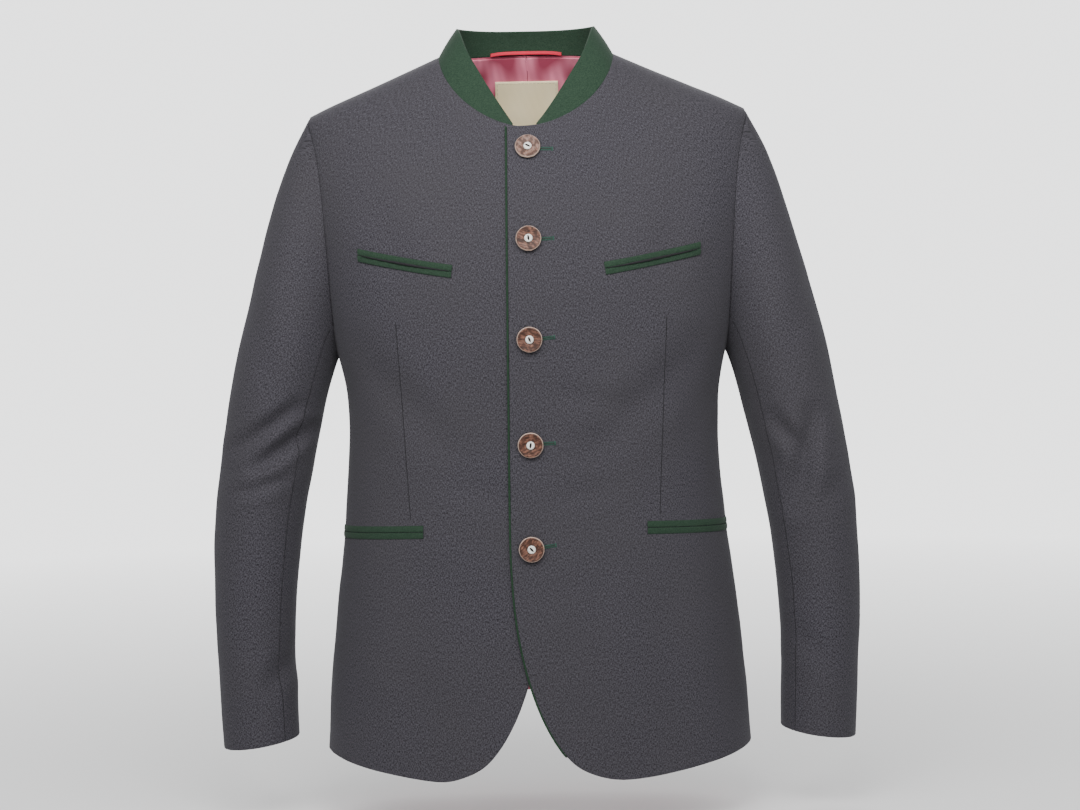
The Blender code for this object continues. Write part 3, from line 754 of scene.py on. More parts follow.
@dataclass(frozen=True)
class SleeveDrape(Drape):
    """Drape of one sleeve, still at the armhole."""

    side: Side = Side.LEFT
    heights: tuple[float, ...] = (-0.29, -0.39, -0.45, -0.51, -0.56, -0.61, -0.70)
    middles: tuple[float, ...] = (0.245, 0.271, 0.282, 0.2875, 0.290, 0.290, 0.286)
    middle_y: float = -0.010
    flatness: float = 0.8
    fade: float = 0.05
    still_beside: float = 0.002
    still_below: float = 0.01
    face_lead: float = 0.3
    face_depth: float = 0.03
    cut_radius: float = 0.055

    def middle(self, z: float) -> Vector:
        """Middle of the sleeve at a height.

        Args:
            z: height.

        Returns:
            The middle point.
        """
        x = self.middles[-1]
        for index in range(len(self.heights) - 1):
            high, low = self.heights[index], self.heights[index + 1]
            if z > low:
                share = min(max((z - high) / (low - high), 0.0), 1.0)
                x = self.middles[index] + (self.middles[index + 1] - self.middles[index]) * share
                break
        return Vector((self.side.value * x, self.middle_y, z))

    def outward(self, point: Vector) -> Vector:
        """Direction away from the sleeve's middle."""
        away = point - self.middle(point.z)
        return Vector((away.x, away.y * self.flatness, 0.0)).normalized()

    def strength(self, point: Vector) -> float:
        """Fade toward the armhole.

        Args:
            point: place in the row frame.

        Returns:
            The share, 0 to 1.
        """
        beyond = ease((abs(point.x) - armhole_x(point.z) - self.still_beside) / self.fade)
        below = ease((ARMHOLE_LOW[1] - self.still_below - point.z) / self.fade)
        return max(beyond, below)

    def faces(self, face: Face, point: Vector) -> float:
        """Share of the sleeve's front or back."""
        return ease(self.face_lead + face.value * (point.y - self.middle_y) / self.face_depth)

    def cut_place(self, point: Vector) -> tuple[float, float]:
        """Place round the sleeve and down it."""
        away = point - self.middle(point.z)
        return self.cut_radius * math.atan2(away.y, self.side.value * away.x), point.z


TORSO_DRAPE = TorsoDrape(creases=(
    Crease(Face.FRONT, (0.165, -0.300), (0.060, -0.395), 0.0028, 0.016),
    Crease(Face.FRONT, (-0.168, -0.305), (-0.070, -0.405), 0.0026, 0.017),
    Crease(Face.FRONT, (0.150, -0.150), (0.120, -0.245), 0.0020, 0.018),
    Crease(Face.FRONT, (-0.152, -0.145), (-0.125, -0.240), 0.0020, 0.017),
    Crease(Face.FRONT, (0.120, -0.520), (0.135, -0.690), 0.0026, 0.022),
    Crease(Face.FRONT, (-0.118, -0.530), (-0.128, -0.700), 0.0024, 0.024),
    Crease(Face.FRONT, (0.020, -0.340), (0.090, -0.352), 0.0016, 0.011),
    Crease(Face.FRONT, (-0.025, -0.442), (-0.095, -0.428), 0.0015, 0.012),
    Crease(Face.FRONT, (0.022, -0.445), (0.080, -0.432), 0.0014, 0.011),
    Crease(Face.BACK, (0.165, -0.290), (0.070, -0.380), 0.0034, 0.018),
    Crease(Face.BACK, (-0.160, -0.280), (-0.060, -0.372), 0.0032, 0.019),
    Crease(Face.BACK, (0.130, -0.400), (0.020, -0.418), 0.0030, 0.014),
    Crease(Face.BACK, (-0.135, -0.412), (-0.030, -0.392), 0.0028, 0.015),
    Crease(Face.BACK, (0.090, -0.530), (0.105, -0.680), 0.0026, 0.024),
    Crease(Face.BACK, (-0.085, -0.520), (-0.102, -0.675), 0.0026, 0.022),
    Crease(Face.BACK, (0.060, -0.030), (0.110, -0.110), 0.0018, 0.018),
    Crease(Face.BACK, (-0.062, -0.034), (-0.105, -0.118), 0.0018, 0.017),
))
LINING_DRAPE = replace(TORSO_DRAPE, pucker=0.0014)
SLEEVE_DRAPES = {
    Side.RIGHT: SleeveDrape(side=Side.RIGHT, creases=(
        Crease(Face.FRONT, (-0.238, -0.350), (-0.300, -0.392), 0.0058, 0.0068),
        Crease(Face.FRONT, (-0.226, -0.374), (-0.281, -0.412), 0.0066, 0.0068),
        Crease(Face.FRONT, (-0.254, -0.424), (-0.301, -0.438), 0.0036, 0.0062),
        Crease(Face.FRONT, (-0.232, -0.362), (-0.292, -0.404), 0.0030, 0.020, ridge=0.2),
        Crease(Face.FRONT, (-0.250, -0.603), (-0.272, -0.636), 0.0030, 0.010),
        Crease(Face.FRONT, (-0.286, -0.235), (-0.262, -0.335), 0.0022, 0.016),
        Crease(Face.BACK, (-0.250, -0.380), (-0.312, -0.430), 0.0040, 0.012),
        Crease(Face.BACK, (-0.252, -0.420), (-0.306, -0.462), 0.0034, 0.011),
        Crease(Face.BACK, (-0.280, -0.250), (-0.258, -0.345), 0.0026, 0.016),
        Crease(Face.BACK, (-0.262, -0.585), (-0.300, -0.610), 0.0024, 0.012),
    )),
    Side.LEFT: SleeveDrape(side=Side.LEFT, creases=(
        Crease(Face.FRONT, (0.281, -0.368), (0.263, -0.460), 0.0062, 0.0095),
        Crease(Face.FRONT, (0.242, -0.370), (0.269, -0.407), 0.0046, 0.0075),
        Crease(Face.FRONT, (0.292, -0.455), (0.318, -0.430), 0.0020, 0.011),
        Crease(Face.FRONT, (0.284, -0.225), (0.262, -0.320), 0.0020, 0.017),
        Crease(Face.FRONT, (0.262, -0.590), (0.290, -0.618), 0.0018, 0.011),
        Crease(Face.BACK, (0.248, -0.376), (0.312, -0.420), 0.0040, 0.012),
        Crease(Face.BACK, (0.256, -0.412), (0.300, -0.455), 0.0032, 0.011),
        Crease(Face.BACK, (0.282, -0.240), (0.256, -0.340), 0.0024, 0.016),
        Crease(Face.BACK, (0.260, -0.600), (0.304, -0.622), 0.0022, 0.012),
    )),
}


def add_piece(name: str, mesh: bpy.types.Mesh, nodes: tuple[str, ...] = ()) -> bpy.types.Object:
    """Link a finished mesh as a piece of the jacket.

    Args:
        name: the piece's name.
        mesh: its mesh, in the row frame.
        nodes: solids that it stands for.

    Returns:
        The linked object.
    """
    piece = bpy.data.objects.new(name, mesh)
    bpy.context.scene.collection.objects.link(piece)
    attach(piece, "root")
    if nodes:
        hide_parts(*nodes)
    LOG.info("%s: %d faces", name, len(mesh.polygons))
    return piece


def shade(mesh: bpy.types.Mesh) -> None:
    """Shade a mesh smooth, apart from its sharp edges."""
    mesh.shade_smooth()
    mesh.set_sharp_from_angle(angle=math.radians(SHARP_DEGREES))


def finished(work: bmesh.types.BMesh, name: str) -> bpy.types.Mesh:
    """Turn a worked mesh into a mesh of its own, and free it.

    Args:
        work: the worked mesh.
        name: the new mesh's name.

    Returns:
        The new mesh.
    """
    mesh = bpy.data.meshes.new(name)
    work.to_mesh(mesh)
    work.free()
    return mesh


def evaluated(data: bpy.types.ID, name: str, levels: int = 0) -> bpy.types.Mesh:
    """Mesh of a curve, or of a mesh after subdivision.

    Args:
        data: the curve or mesh.
        name: the new mesh's name.
        levels: rounds of subdivision.

    Returns:
        The new mesh.
    """
    holder = bpy.data.objects.new(name + "_holder", data)
    bpy.context.scene.collection.objects.link(holder)
    if levels:
        smoothing = holder.modifiers.new("Subdivision", "SUBSURF")
        smoothing.levels = levels
        smoothing.render_levels = levels
    bpy.context.view_layer.update()
    mesh = bpy.data.meshes.new_from_object(holder.evaluated_get(bpy.context.evaluated_depsgraph_get()))
    bpy.data.objects.remove(holder)
    mesh.name = name
    return mesh


def search_tree(places: Sequence[tuple[int, Vector]]) -> KDTree:
    """Tree for finding the nearest of some places.

    Args:
        places: index and place of each.

    Returns:
        The balanced tree.
    """
    tree = KDTree(len(places))
    for index, place in places:
        tree.insert(place, index)
    tree.balance()
    return tree


@dataclass(frozen=True)
class Cut:
    """Flat cut of a piece: the box round it in metres, and the share of the box that it fills."""

    width: float
    length: float
    filled: float

    def area(self) -> float:
        """Area of the cut cloth."""
        return self.width * self.length * self.filled


@dataclass
class Shell:
    """A cloth shell on a solid's form: merged, made of quads, subdivided, then draped."""

    node: str
    finish: NapCloth | SatinCloth
    slot: str
    drape: Drape | None = None
    inside: SatinCloth | None = None
    levels: int = 2
    wall: float = 0.0046
    crease: float = 0.75
    merge: float = 0.00002
    flat_degrees: float = 60.0
    shape_degrees: float = 75.0
    fold_degrees: float = 55.0
    corner_degrees: float = 28.0
    seam_let: float = 0.00018
    swell: float = 0.0
    seat: float = 0.0
    # Whether the shell's sides that turn away from the outside get painted shade.
    painted_shade: bool = False
    painted_shade_from: float = 0.15
    painted_shade_fade: float = 0.5
    cut: Cut | None = None
    held: Held = Held.HUNG
    rests_on: tuple[str, ...] = ()

    def quads(self) -> bmesh.types.BMesh:
        """The solid's mesh, merged and with its triangles joined.

        Returns:
            The worked mesh.
        """
        work = bmesh.new()
        work.from_mesh(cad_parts[self.node].data)
        bmesh.ops.remove_doubles(work, verts=work.verts, dist=self.merge)
        bmesh.ops.join_triangles(work, faces=work.faces, angle_face_threshold=math.radians(self.flat_degrees),
                                 angle_shape_threshold=math.radians(self.shape_degrees))
        work.normal_update()
        self.close_seams(work)
        return work

    def close_seams(self, work: bmesh.types.BMesh) -> None:
        """Let the cut edges out until they meet the next piece's.

        Args:
            work: the worked mesh, changed in place.
        """
        rims = self.rim_faces(work)
        for corner in work.verts:
            edge_normals = [face.normal for face in corner.link_faces if face in rims]
            if edge_normals:
                corner.co += sum(edge_normals, Vector()).normalized() * self.seam_let

    def mark_edges(self, work: bmesh.types.BMesh) -> None:
        """Keep the cut edges firm and their corners fixed under subdivision.

        Args:
            work: the worked mesh, changed in place.
        """
        edge_layer = work.edges.layers.float.new("crease_edge")
        corner_layer = work.verts.layers.float.new("crease_vert")
        rims = self.rim_faces(work)
        firm = [edge for edge in work.edges if edge.calc_face_angle(0.0) > math.radians(self.fold_degrees)]
        firm += [edge for face in rims for edge in face.edges if edge.calc_length() >= self.wall]
        runs: dict[bmesh.types.BMVert, list[bmesh.types.BMEdge]] = {}
        for edge in set(firm):
            edge[edge_layer] = self.crease
            for corner in edge.verts:
                runs.setdefault(corner, []).append(edge)
        for corner, edges in runs.items():
            if len(edges) != 2:
                corner[corner_layer] = 1.0
                continue
            first = edges[0].other_vert(corner).co - corner.co
            second = edges[1].other_vert(corner).co - corner.co
            if math.pi - first.angle(second) > math.radians(self.corner_degrees):
                corner[corner_layer] = 1.0

    def subdivided(self) -> bpy.types.Mesh:
        """The shell's mesh after subdivision.

        Returns:
            The shell's mesh.
        """
        work = self.quads()
        self.mark_edges(work)
        for face in work.faces:
            face.material_index = 0
        if self.inside:
            self.mark_inside(work)
        return evaluated(finished(work, self.node + "_base"), self.node + "_cloth", self.levels)

    def rim_faces(self, work: bmesh.types.BMesh) -> set[bmesh.types.BMFace]:
        """Faces of the cut edges, which are as narrow as the wall."""
        return {face for edge in work.edges if edge.calc_length() < self.wall for face in edge.link_faces}

    def mark_inside(self, work: bmesh.types.BMesh) -> None:
        """Give the smaller of the two walls the inside finish's index, and mark the other's border.

        Args:
            work: the worked mesh, changed in place.
        """
        rims = self.rim_faces(work)
        walls: list[set[bmesh.types.BMFace]] = []
        left = set(work.faces) - rims
        while left:
            wall = {left.pop()}
            front = list(wall)
            while front:
                for edge in front.pop().edges:
                    joined = [face for face in edge.link_faces if face in left]
                    left.difference_update(joined)
                    wall.update(joined)
                    front.extend(joined)
            walls.append(wall)
        walls.sort(key=lambda wall: sum(face.calc_area() for face in wall))
        for face in walls[-2] if len(walls) > 1 else ():
            face.material_index = 1
        for edge in work.edges:
            faces = set(edge.link_faces)
            edge.seam = bool(faces & rims) and bool(faces & walls[-1])

    def add_cut_map(self, mesh: bpy.types.Mesh) -> None:
        """Lay a flat map on the cloth: round the body or sleeve, and down it, in metres.

        Args:
            mesh: the shell's mesh.
        """
        layer = mesh.uv_layers.new(name=CUT_MAP)
        for loop in mesh.loops:
            point = mesh.vertices[loop.vertex_index].co
            layer.data[loop.index].uv = self.drape.cut_place(point) if self.drape else (point.x, point.z)

    def mark_painted_shade(self, mesh: bpy.types.Mesh) -> None:
        """Mark the sides that sink into the cloth, for the shade painted on them.

        Args:
            mesh: the shell's mesh.
        """
        marks = mesh.attributes.new(PAINTED_SHADE, "FLOAT", "POINT")
        for vertex, mark in zip(mesh.vertices, marks.data):
            facing = vertex.normal.dot(self.drape.outward(vertex.co))
            mark.value = 1.0 - ease((facing - self.painted_shade_from) / self.painted_shade_fade)

    def build(self) -> bpy.types.Object:
        """Make, drape and dress the shell.

        Returns:
            The piece that replaces the solid.
        """
        mesh = self.subdivided()
        self.add_cut_map(mesh)
        mesh.materials.append(self.finish.material())
        if self.inside:
            mesh.materials.append(self.inside.material())
        swells = [vertex.normal * self.swell for vertex in mesh.vertices]
        for vertex, swell in zip(mesh.vertices, swells):
            vertex.co = vertex.co + swell + (self.drape.offset(vertex.co) if self.drape else Vector())
            if self.seat:
                vertex.co -= self.drape.outward(vertex.co) * self.seat
        # Painted shade on the sides that sink into the cloth.
        if self.painted_shade:
            self.mark_painted_shade(mesh)
        shade(mesh)
        piece = add_piece(self.node + "_shell", mesh, (self.node,))
        if self.cut:
            self.cut.area()
        return piece


@dataclass
class Body:
    """The wool fronts, back and sleeves with their flat cuts, and the pieces sewn to them."""

    front: Cut = Cut(0.40, 0.76, 0.61)
    back: Cut = Cut(0.29, 0.73, 0.82)
    upper: Cut = Cut(0.26, 0.68, 0.71)
    under: Cut = Cut(0.16, 0.50, 0.62)
    lining: Cut = Cut(0.27, 0.71, 0.78)
    collar: Cut = Cut(0.52, 0.036, 0.80)
    label: Cut = Cut(0.066, 0.058, 1.0)
    welt_seat: float = 0.0010
    piping_swell: float = 0.0002

    def build(self) -> dict[str, bpy.types.Object]:
        """Make every cloth shell.

        Returns:
            The shells by their solid's name.
        """
        shells = [*self.halves(), *self.trims()]
        return {shell.node: shell.build() for shell in shells}

    def halves(self) -> list[Shell]:
        """Shells of the left and right halves.

        Returns:
            The shells, in the order that they are made.
        """
        shells = []
        for name in ("left", "right"):
            drape = SLEEVE_DRAPES[Side[name.upper()]]
            shells += [
                Shell(f"front_{name}", WOOL, "wool", TORSO_DRAPE, LINING, levels=3, cut=self.front),
                Shell(f"back_{name}", WOOL, "wool", TORSO_DRAPE, LINING, levels=3, cut=self.back),
                Shell(f"sleeve_{name}_upper", WOOL, "wool", drape, LINING, levels=3, cut=self.upper),
                Shell(f"sleeve_{name}_under", WOOL, "wool", drape, LINING, levels=3, cut=self.under),
                Shell(f"lining_{name}", LINING, "lining", LINING_DRAPE, levels=3, cut=self.lining,
                      rests_on=(f"back_{name}_shell",)),
            ]
            for pocket, lip in product(("chest", "hip"), ("upper", "lower")):
                shells.append(Shell(f"{pocket}_welt_{name}_{lip}", LODEN, "loden", TORSO_DRAPE, wall=0.0,
                                    crease=0.6, seat=self.welt_seat, painted_shade=True))
        return shells

    def trims(self) -> list[Shell]:
        """Shells of the collar, piping, loop and label.

        Returns:
            The shells, in the order that they are made.
        """
        return [
            Shell("collar", LODEN, "loden", wall=0.0031, crease=0.55, levels=3, cut=self.collar),
            Shell("front_piping", PIPING, "loden", TORSO_DRAPE, wall=0.0, crease=0.0,
                  swell=self.piping_swell),
            Shell("hanger_loop", TAPE, "crimson_tape", wall=0.0, crease=0.2, levels=3),
            Shell("label", LABEL_CLOTH, "label_cloth", wall=0.0015, cut=self.label, held=Held.LAID,
                  rests_on=("lining_left_shell", "lining_right_shell")),
        ]


def add_threads(name: str, paths: Sequence[Sequence[Vector]], radius: float, finish: SmoothFinish,
                end_share: float = 1.0) -> None:
    """Add round threads along open paths, as one piece.

    Args:
        name: the piece's name.
        paths: the points that each thread follows.
        radius: the threads' radius.
        finish: their finish.
        end_share: share of the radius that is left at their ends.
    """
    curve = bpy.data.curves.new(name, "CURVE")
    curve.dimensions = "3D"
    curve.bevel_depth = radius
    curve.bevel_resolution = 1
    curve.use_fill_caps = True
    for path in paths:
        spline = curve.splines.new("POLY")
        spline.points.add(len(path) - 1)
        for index, (point, place) in enumerate(zip(spline.points, path)):
            point.co = (*place, 1.0)
            point.radius = swelling(index / (len(path) - 1), end_share)
    mesh = evaluated(curve, name)
    mesh.materials.clear()
    mesh.materials.append(finish.material())
    mesh.shade_smooth()
    add_piece(name, mesh)


@dataclass
class EdgeSeat:
    """Brings the piping back to the front's edge where the smoothed cloth draws away from it."""

    still_above: float = -0.45
    near: float = 0.0025
    tuck: float = 0.45
    tuck_fade: float = 0.2
    steps: int = 5

    def edge_tree(self, front: bpy.types.Mesh) -> KDTree:
        """Points along the border of the front's outer wall.

        Args:
            front: the front's mesh.

        Returns:
            The points in a search tree.
        """
        places = []
        for edge in front.edges:
            if edge.use_seam:
                first, second = (front.vertices[index].co for index in edge.vertices)
                places += [first.lerp(second, step / self.steps) for step in range(self.steps)]
        return search_tree(list(enumerate(places)))

    def build(self, piping: bpy.types.Mesh, front: bpy.types.Mesh) -> None:
        """Move the piping's lower run against the edge, a little closer to it than its straight run lies.

        Args:
            piping: the piping's mesh.
            front: the mesh of the front that it is sewn to.
        """
        edges = self.edge_tree(front)
        own = search_tree([(vertex.index, vertex.co) for vertex in piping.vertices])
        gaps = []
        for vertex in piping.vertices:
            ring = [place for place, _, _ in own.find_range(vertex.co, self.near)]
            middle = sum(ring, Vector()) / len(ring)
            gaps.append(middle - edges.find(middle)[0])
        still = sorted(gap.length for gap, vertex in zip(gaps, piping.vertices)
                       if vertex.co.z > self.still_above)
        middle_gap = still[len(still) // 2]
        for gap, vertex in zip(gaps, piping.vertices):
            held = middle_gap * (1.0 - self.tuck * ease((self.still_above - vertex.co.z) / self.tuck_fade))
            if vertex.co.z < self.still_above and gap.length > held:
                vertex.co -= gap * (1.0 - held / gap.length)


@dataclass
class SeamLines:
    """Sewn lines between the wool pieces: a shallow groove with a dark line in it, painted as the groove's
    shade.
    """

    reach: float = 0.0020
    sink: float = 0.0008
    radius: float = 0.00042
    least: int = 8
    meshes: dict[str, bpy.types.Mesh] = field(default_factory=dict)
    borders: dict[str, set[int]] = field(default_factory=dict)
    trees: dict[str, KDTree] = field(default_factory=dict)

    @staticmethod
    def sewn_to() -> dict[str, tuple[str, ...]]:
        """The pieces sewn to each wool piece, every seam once.

        Returns:
            Names of the other pieces by each piece's name.
        """
        sewn: dict[str, tuple[str, ...]] = {}
        for name in ("left", "right"):
            body = (f"front_{name}", f"back_{name}")
            sewn[f"sleeve_{name}_upper"] = (f"sleeve_{name}_under", *body)
            sewn[f"sleeve_{name}_under"] = body
            sewn[f"back_{name}"] = (f"front_{name}",)
        sewn["back_left"] += ("back_right",)
        return sewn

    def build(self, shells: dict[str, bpy.types.Object]) -> None:
        """Sink the sewn edges and lay a line along each seam.

        Args:
            shells: the cloth pieces by their solid's name.
        """
        sewn = self.sewn_to()
        for name in sorted({name for owner, others in sewn.items() for name in (owner, *others)}):
            self.gather(name, shells[name].data)
        runs = {owner: self.runs(owner, self.touching(owner, others)) for owner, others in sewn.items()}
        names = set(self.meshes)
        sunk = {name: self.touching(name, names - {name}) for name in self.meshes}
        for name, held in sunk.items():
            self.sink_border(self.meshes[name], held)
        for owner, paths in runs.items():
            corners = self.meshes[owner].vertices
            places = [[corners[index].co for index in path] for path in paths]
            # Painted shade: a dark line in the groove.
            add_threads(f"{owner}_seams", places, self.radius, SHADE_LINE)

    def gather(self, name: str, mesh: bpy.types.Mesh) -> None:
        """Keep a piece's mesh and the border of its outer wall.

        Args:
            name: the piece's name.
            mesh: its mesh, with the border's edges marked.
        """
        border = {index for edge in mesh.edges if edge.use_seam for index in edge.vertices}
        self.meshes[name] = mesh
        self.borders[name] = border
        self.trees[name] = search_tree([(index, mesh.vertices[index].co) for index in border])

    def touching(self, name: str, others: Collection[str]) -> set[int]:
        """Border points of a piece that lie beside another piece's border.

        Args:
            name: the piece's name.
            others: names of the pieces that may lie beside it.

        Returns:
            The points' indices.
        """
        corners = self.meshes[name].vertices
        return {index for index in self.borders[name]
                if any(self.trees[other].find(corners[index].co)[2] < self.reach for other in others)}

    def runs(self, name: str, held: set[int]) -> list[list[int]]:
        """Border points in runs along the seams.

        Args:
            name: the piece's name.
            held: the points that belong to seams.

        Returns:
            The indices of each run, in order.
        """
        beside: dict[int, set[int]] = {index: set() for index in held}
        for edge in self.meshes[name].edges:
            first, second = edge.vertices
            if edge.use_seam and first in held and second in held:
                beside[first].add(second)
                beside[second].add(first)
        found = []
        for start in sorted(beside, key=lambda index: len(beside[index])):
            run = [start]
            while beside[run[-1]]:
                step = beside[run[-1]].pop()
                beside[step].discard(run[-1])
                run.append(step)
            if len(run) >= self.least:
                found.append(run)
        return found

    def sink_border(self, mesh: bpy.types.Mesh, held: set[int]) -> None:
        """Sink border points into the cloth, against the faces round them.

        Args:
            mesh: the piece's mesh.
            held: the points' indices.
        """
        normals = {index: Vector() for index in held}
        for face in mesh.polygons:
            for index in held.intersection(face.vertices):
                normals[index] += face.normal * face.area
        for index, normal in normals.items():
            mesh.vertices[index].co -= normal.normalized() * self.sink


class ClothFace:
    """Faces of finished cloth pieces, for laying sewing on them."""

    def __init__(self, pieces: Sequence[bpy.types.Object]) -> None:
        """Gather the pieces' faces in one search tree.

        Args:
            pieces: the cloth pieces.
        """
        corners: list[Vector] = []
        faces: list[tuple[int, ...]] = []
        for piece in pieces:
            first = len(corners)
            corners.extend(vertex.co.copy() for vertex in piece.data.vertices)
            faces.extend(tuple(first + index for index in polygon.vertices)
                         for polygon in piece.data.polygons)
        self.tree = BVHTree.FromPolygons(corners, faces)

    def under(self, x: float, z: float, lift: float, start_y: float = -1.0) -> Vector:
        """Point on the cloth at a place of the front view.

        Args:
            x: place across.
            z: height.
            lift: distance off the cloth.
            start_y: depth that the search starts from, going back.

        Returns:
            The point.
        """
        place, normal, _, _ = self.tree.ray_cast(Vector((x, start_y, z)), Vector((0.0, 1.0, 0.0)))
        return place + normal * lift


@dataclass
class Sewing:
    """Dart lines, the lining's seam and the label's stitches."""

    dart_top: tuple[float, float] = (0.134, -0.267)
    dart_low: tuple[float, float] = (0.124, -0.464)
    dart_radius: float = 0.00042
    dart_lift: float = -0.00008
    dart_steps: int = 60
    inside_y: float = -0.02
    seam_x: float = 0.0012
    seam_top: float = -0.012
    seam_low: float = -0.645
    seam_radius: float = 0.00035
    seam_lift: float = 0.00005
    seam_steps: int = 90
    stitch: float = 0.0024
    stitch_radius: float = 0.00022
    stitch_inset: float = 0.0022
    stitch_pitch: float = 1.6
    stitch_lead: float = 0.2
    stitch_share: float = 0.62
    stitch_arc: tuple[tuple[float, float], ...] = (
        (0.0, -0.0001), (0.3, 0.00016), (0.7, 0.00016), (1.0, -0.0001))

    def build(self, fronts: ClothFace, linings: ClothFace, labels: ClothFace) -> None:
        """Lay all the sewing on its cloth.

        Args:
            fronts: the fronts' faces.
            linings: the linings' faces.
            labels: the label's faces.
        """
        self.build_darts(fronts)
        self.build_lining_seam(linings)
        self.build_label_stitches(labels)

    def build_darts(self, fronts: ClothFace) -> None:
        """Sewn dart line of each front, a dark line painted as the dart's shade and sunk into the cloth.

        Args:
            fronts: the fronts' faces.
        """
        top, low = Vector(self.dart_top), Vector(self.dart_low)
        for side in Side:
            path = []
            for index in range(self.dart_steps + 1):
                x, z = top + (low - top) * (index / self.dart_steps)
                path.append(fronts.under(side.value * x, z, self.dart_lift))
            add_threads(f"dart_{side.name.lower()}", [path], self.dart_radius, SHADE_LINE)

    def build_lining_seam(self, linings: ClothFace) -> None:
        """Centre seam of the back lining.

        Args:
            linings: the linings' faces.
        """
        path = []
        for index in range(self.seam_steps + 1):
            z = self.seam_top + (self.seam_low - self.seam_top) * index / self.seam_steps
            path.append(linings.under(self.seam_x, z, self.seam_lift, self.inside_y))
        add_threads("lining_seam", [path], self.seam_radius, ROSE_THREAD)

    def build_label_stitches(self, labels: ClothFace) -> None:
        """Running stitches along the label's edges.

        Args:
            labels: the label's faces.
        """
        low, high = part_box("label")
        left, right = low[0] + self.stitch_inset, high[0] - self.stitch_inset
        foot, top = low[2] + self.stitch_inset, high[2] - self.stitch_inset
        corners = ((left, foot), (left, top), (right, top), (right, foot))
        paths = []
        for (x, z), (next_x, next_z) in zip(corners, corners[1:] + corners[:1]):
            length = math.hypot(next_x - x, next_z - z)
            count = int(length / (self.stitch_pitch * self.stitch))
            for index in range(count):
                path = []
                for part, lift in self.stitch_arc:
                    share = (index + self.stitch_lead + self.stitch_share * part) / count
                    spot_x, spot_z = x + (next_x - x) * share, z + (next_z - z) * share
                    path.append(labels.under(spot_x, spot_z, lift, self.inside_y))
                paths.append(path)
        add_threads("label_stitches", paths, self.stitch_radius, CREAM_THREAD)


@dataclass
class PocketSlit:
    """Shaded strip of facing that shows between the two lips of a welt pocket, widest in its middle."""

    pocket: str
    side: Side
    radius: float
    end_share: float = 0.3
    sunk: float = 0.45
    steps: int = 24
    inset: float = 0.004
    near: float = 0.0035
    lip: float = 0.0020

    def build(self, shells: dict[str, bpy.types.Object]) -> None:
        """Lay the strip between the lips, sunk below their faces.

        Args:
            shells: the cloth pieces by their solid's name.
        """
        stem = f"{self.pocket}_welt_{self.side.name.lower()}"
        upper = [vertex.co for vertex in shells[f"{stem}_upper"].data.vertices]
        lower = [vertex.co for vertex in shells[f"{stem}_lower"].data.vertices]
        first = min(point.x for point in upper) + self.inset
        last = max(point.x for point in upper) - self.inset
        path = []
        for index in range(self.steps + 1):
            share = index / self.steps
            x = first + (last - first) * share
            above = [point for point in upper if abs(point.x - x) < self.near]
            below = [point for point in lower if abs(point.x - x) < self.near]
            height = 0.5 * (min(point.z for point in above) + max(point.z for point in below))
            front = min(point.y for point in above + below if abs(point.z - height) < self.lip)
            depth = self.sunk * self.radius * swelling(share, self.end_share)
            path.append(Vector((x, front + depth, height)))
        # The strip is painted dark as the shade between the lips.
        add_threads(f"{stem}_slit", [path], self.radius, SHADE_LINE, self.end_share)


@cache
def turned_frame(node: str) -> Matrix:
    """Frame of a turned solid, worked out once: Z out along its axis from its back, X across the front view.

    Args:
        node: the solid's name.

    Returns:
        The frame's matrix.
    """
    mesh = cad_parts[node].data
    axis = Vector((0.0, -1.0, 0.0))
    for _ in range(AXIS_ROUNDS):
        facing = [face for face in mesh.polygons if face.normal.dot(axis) > AXIS_FACING]
        axis = sum((face.normal * face.area for face in facing), Vector()).normalized()
    area = sum(face.area for face in mesh.polygons)
    middle = sum((face.center * face.area for face in mesh.polygons), Vector()) / area
    foot = middle + axis * (min(vertex.co.dot(axis) for vertex in mesh.vertices) - middle.dot(axis))
    across = Vector((1.0, 0.0, 0.0))
    across = (across - axis * axis.x).normalized()
    turn = Matrix((across, axis.cross(across), axis)).transposed().to_4x4()
    return Matrix.Translation(foot) @ turn


def stacked_rings(rings: Sequence[Triple], segments: int, dark_from: int | None = None) -> bmesh.types.BMesh:
    """Closed solid of ovals stacked from the outside in.

    Args:
        rings: half width, half height and level of each oval, in millimetres.
        segments: points round each oval.
        dark_from: first ring whose faces take the second material, if any does.

    Returns:
        The solid in its own frame, in metres.
    """
    first_dark = len(rings) + 1 if dark_from is None else dark_from
    work = bmesh.new()
    bmesh.ops.create_circle(work, segments=segments, radius=1.0, cap_ends=True)
    width, height, level = rings[0]
    bmesh.ops.scale(work, verts=work.verts, vec=(width * MM, height * MM, 1.0))
    bmesh.ops.translate(work, verts=work.verts, vec=(0.0, 0.0, level * MM))
    edges = list(work.edges)
    for index, (next_width, next_height, next_level) in enumerate(rings[1:], start=1):
        made = bmesh.ops.extrude_edge_only(work, edges=edges)["geom"]
        corners = [item for item in made if isinstance(item, bmesh.types.BMVert)]
        edges = [item for item in made if isinstance(item, bmesh.types.BMEdge) and item.is_boundary]
        for face in (item for item in made if isinstance(item, bmesh.types.BMFace)):
            face.material_index = int(index >= first_dark)
        bmesh.ops.scale(work, verts=corners, vec=(next_width / width, next_height / height, 1.0))
        bmesh.ops.translate(work, verts=corners, vec=(0.0, 0.0, (next_level - level) * MM))
        width, height, level = next_width, next_height, next_level
    for face in bmesh.ops.edgeloop_fill(work, edges=edges)["faces"]:
        face.material_index = int(len(rings) >= first_dark)
    bmesh.ops.recalc_face_normals(work, faces=work.faces)
    return work


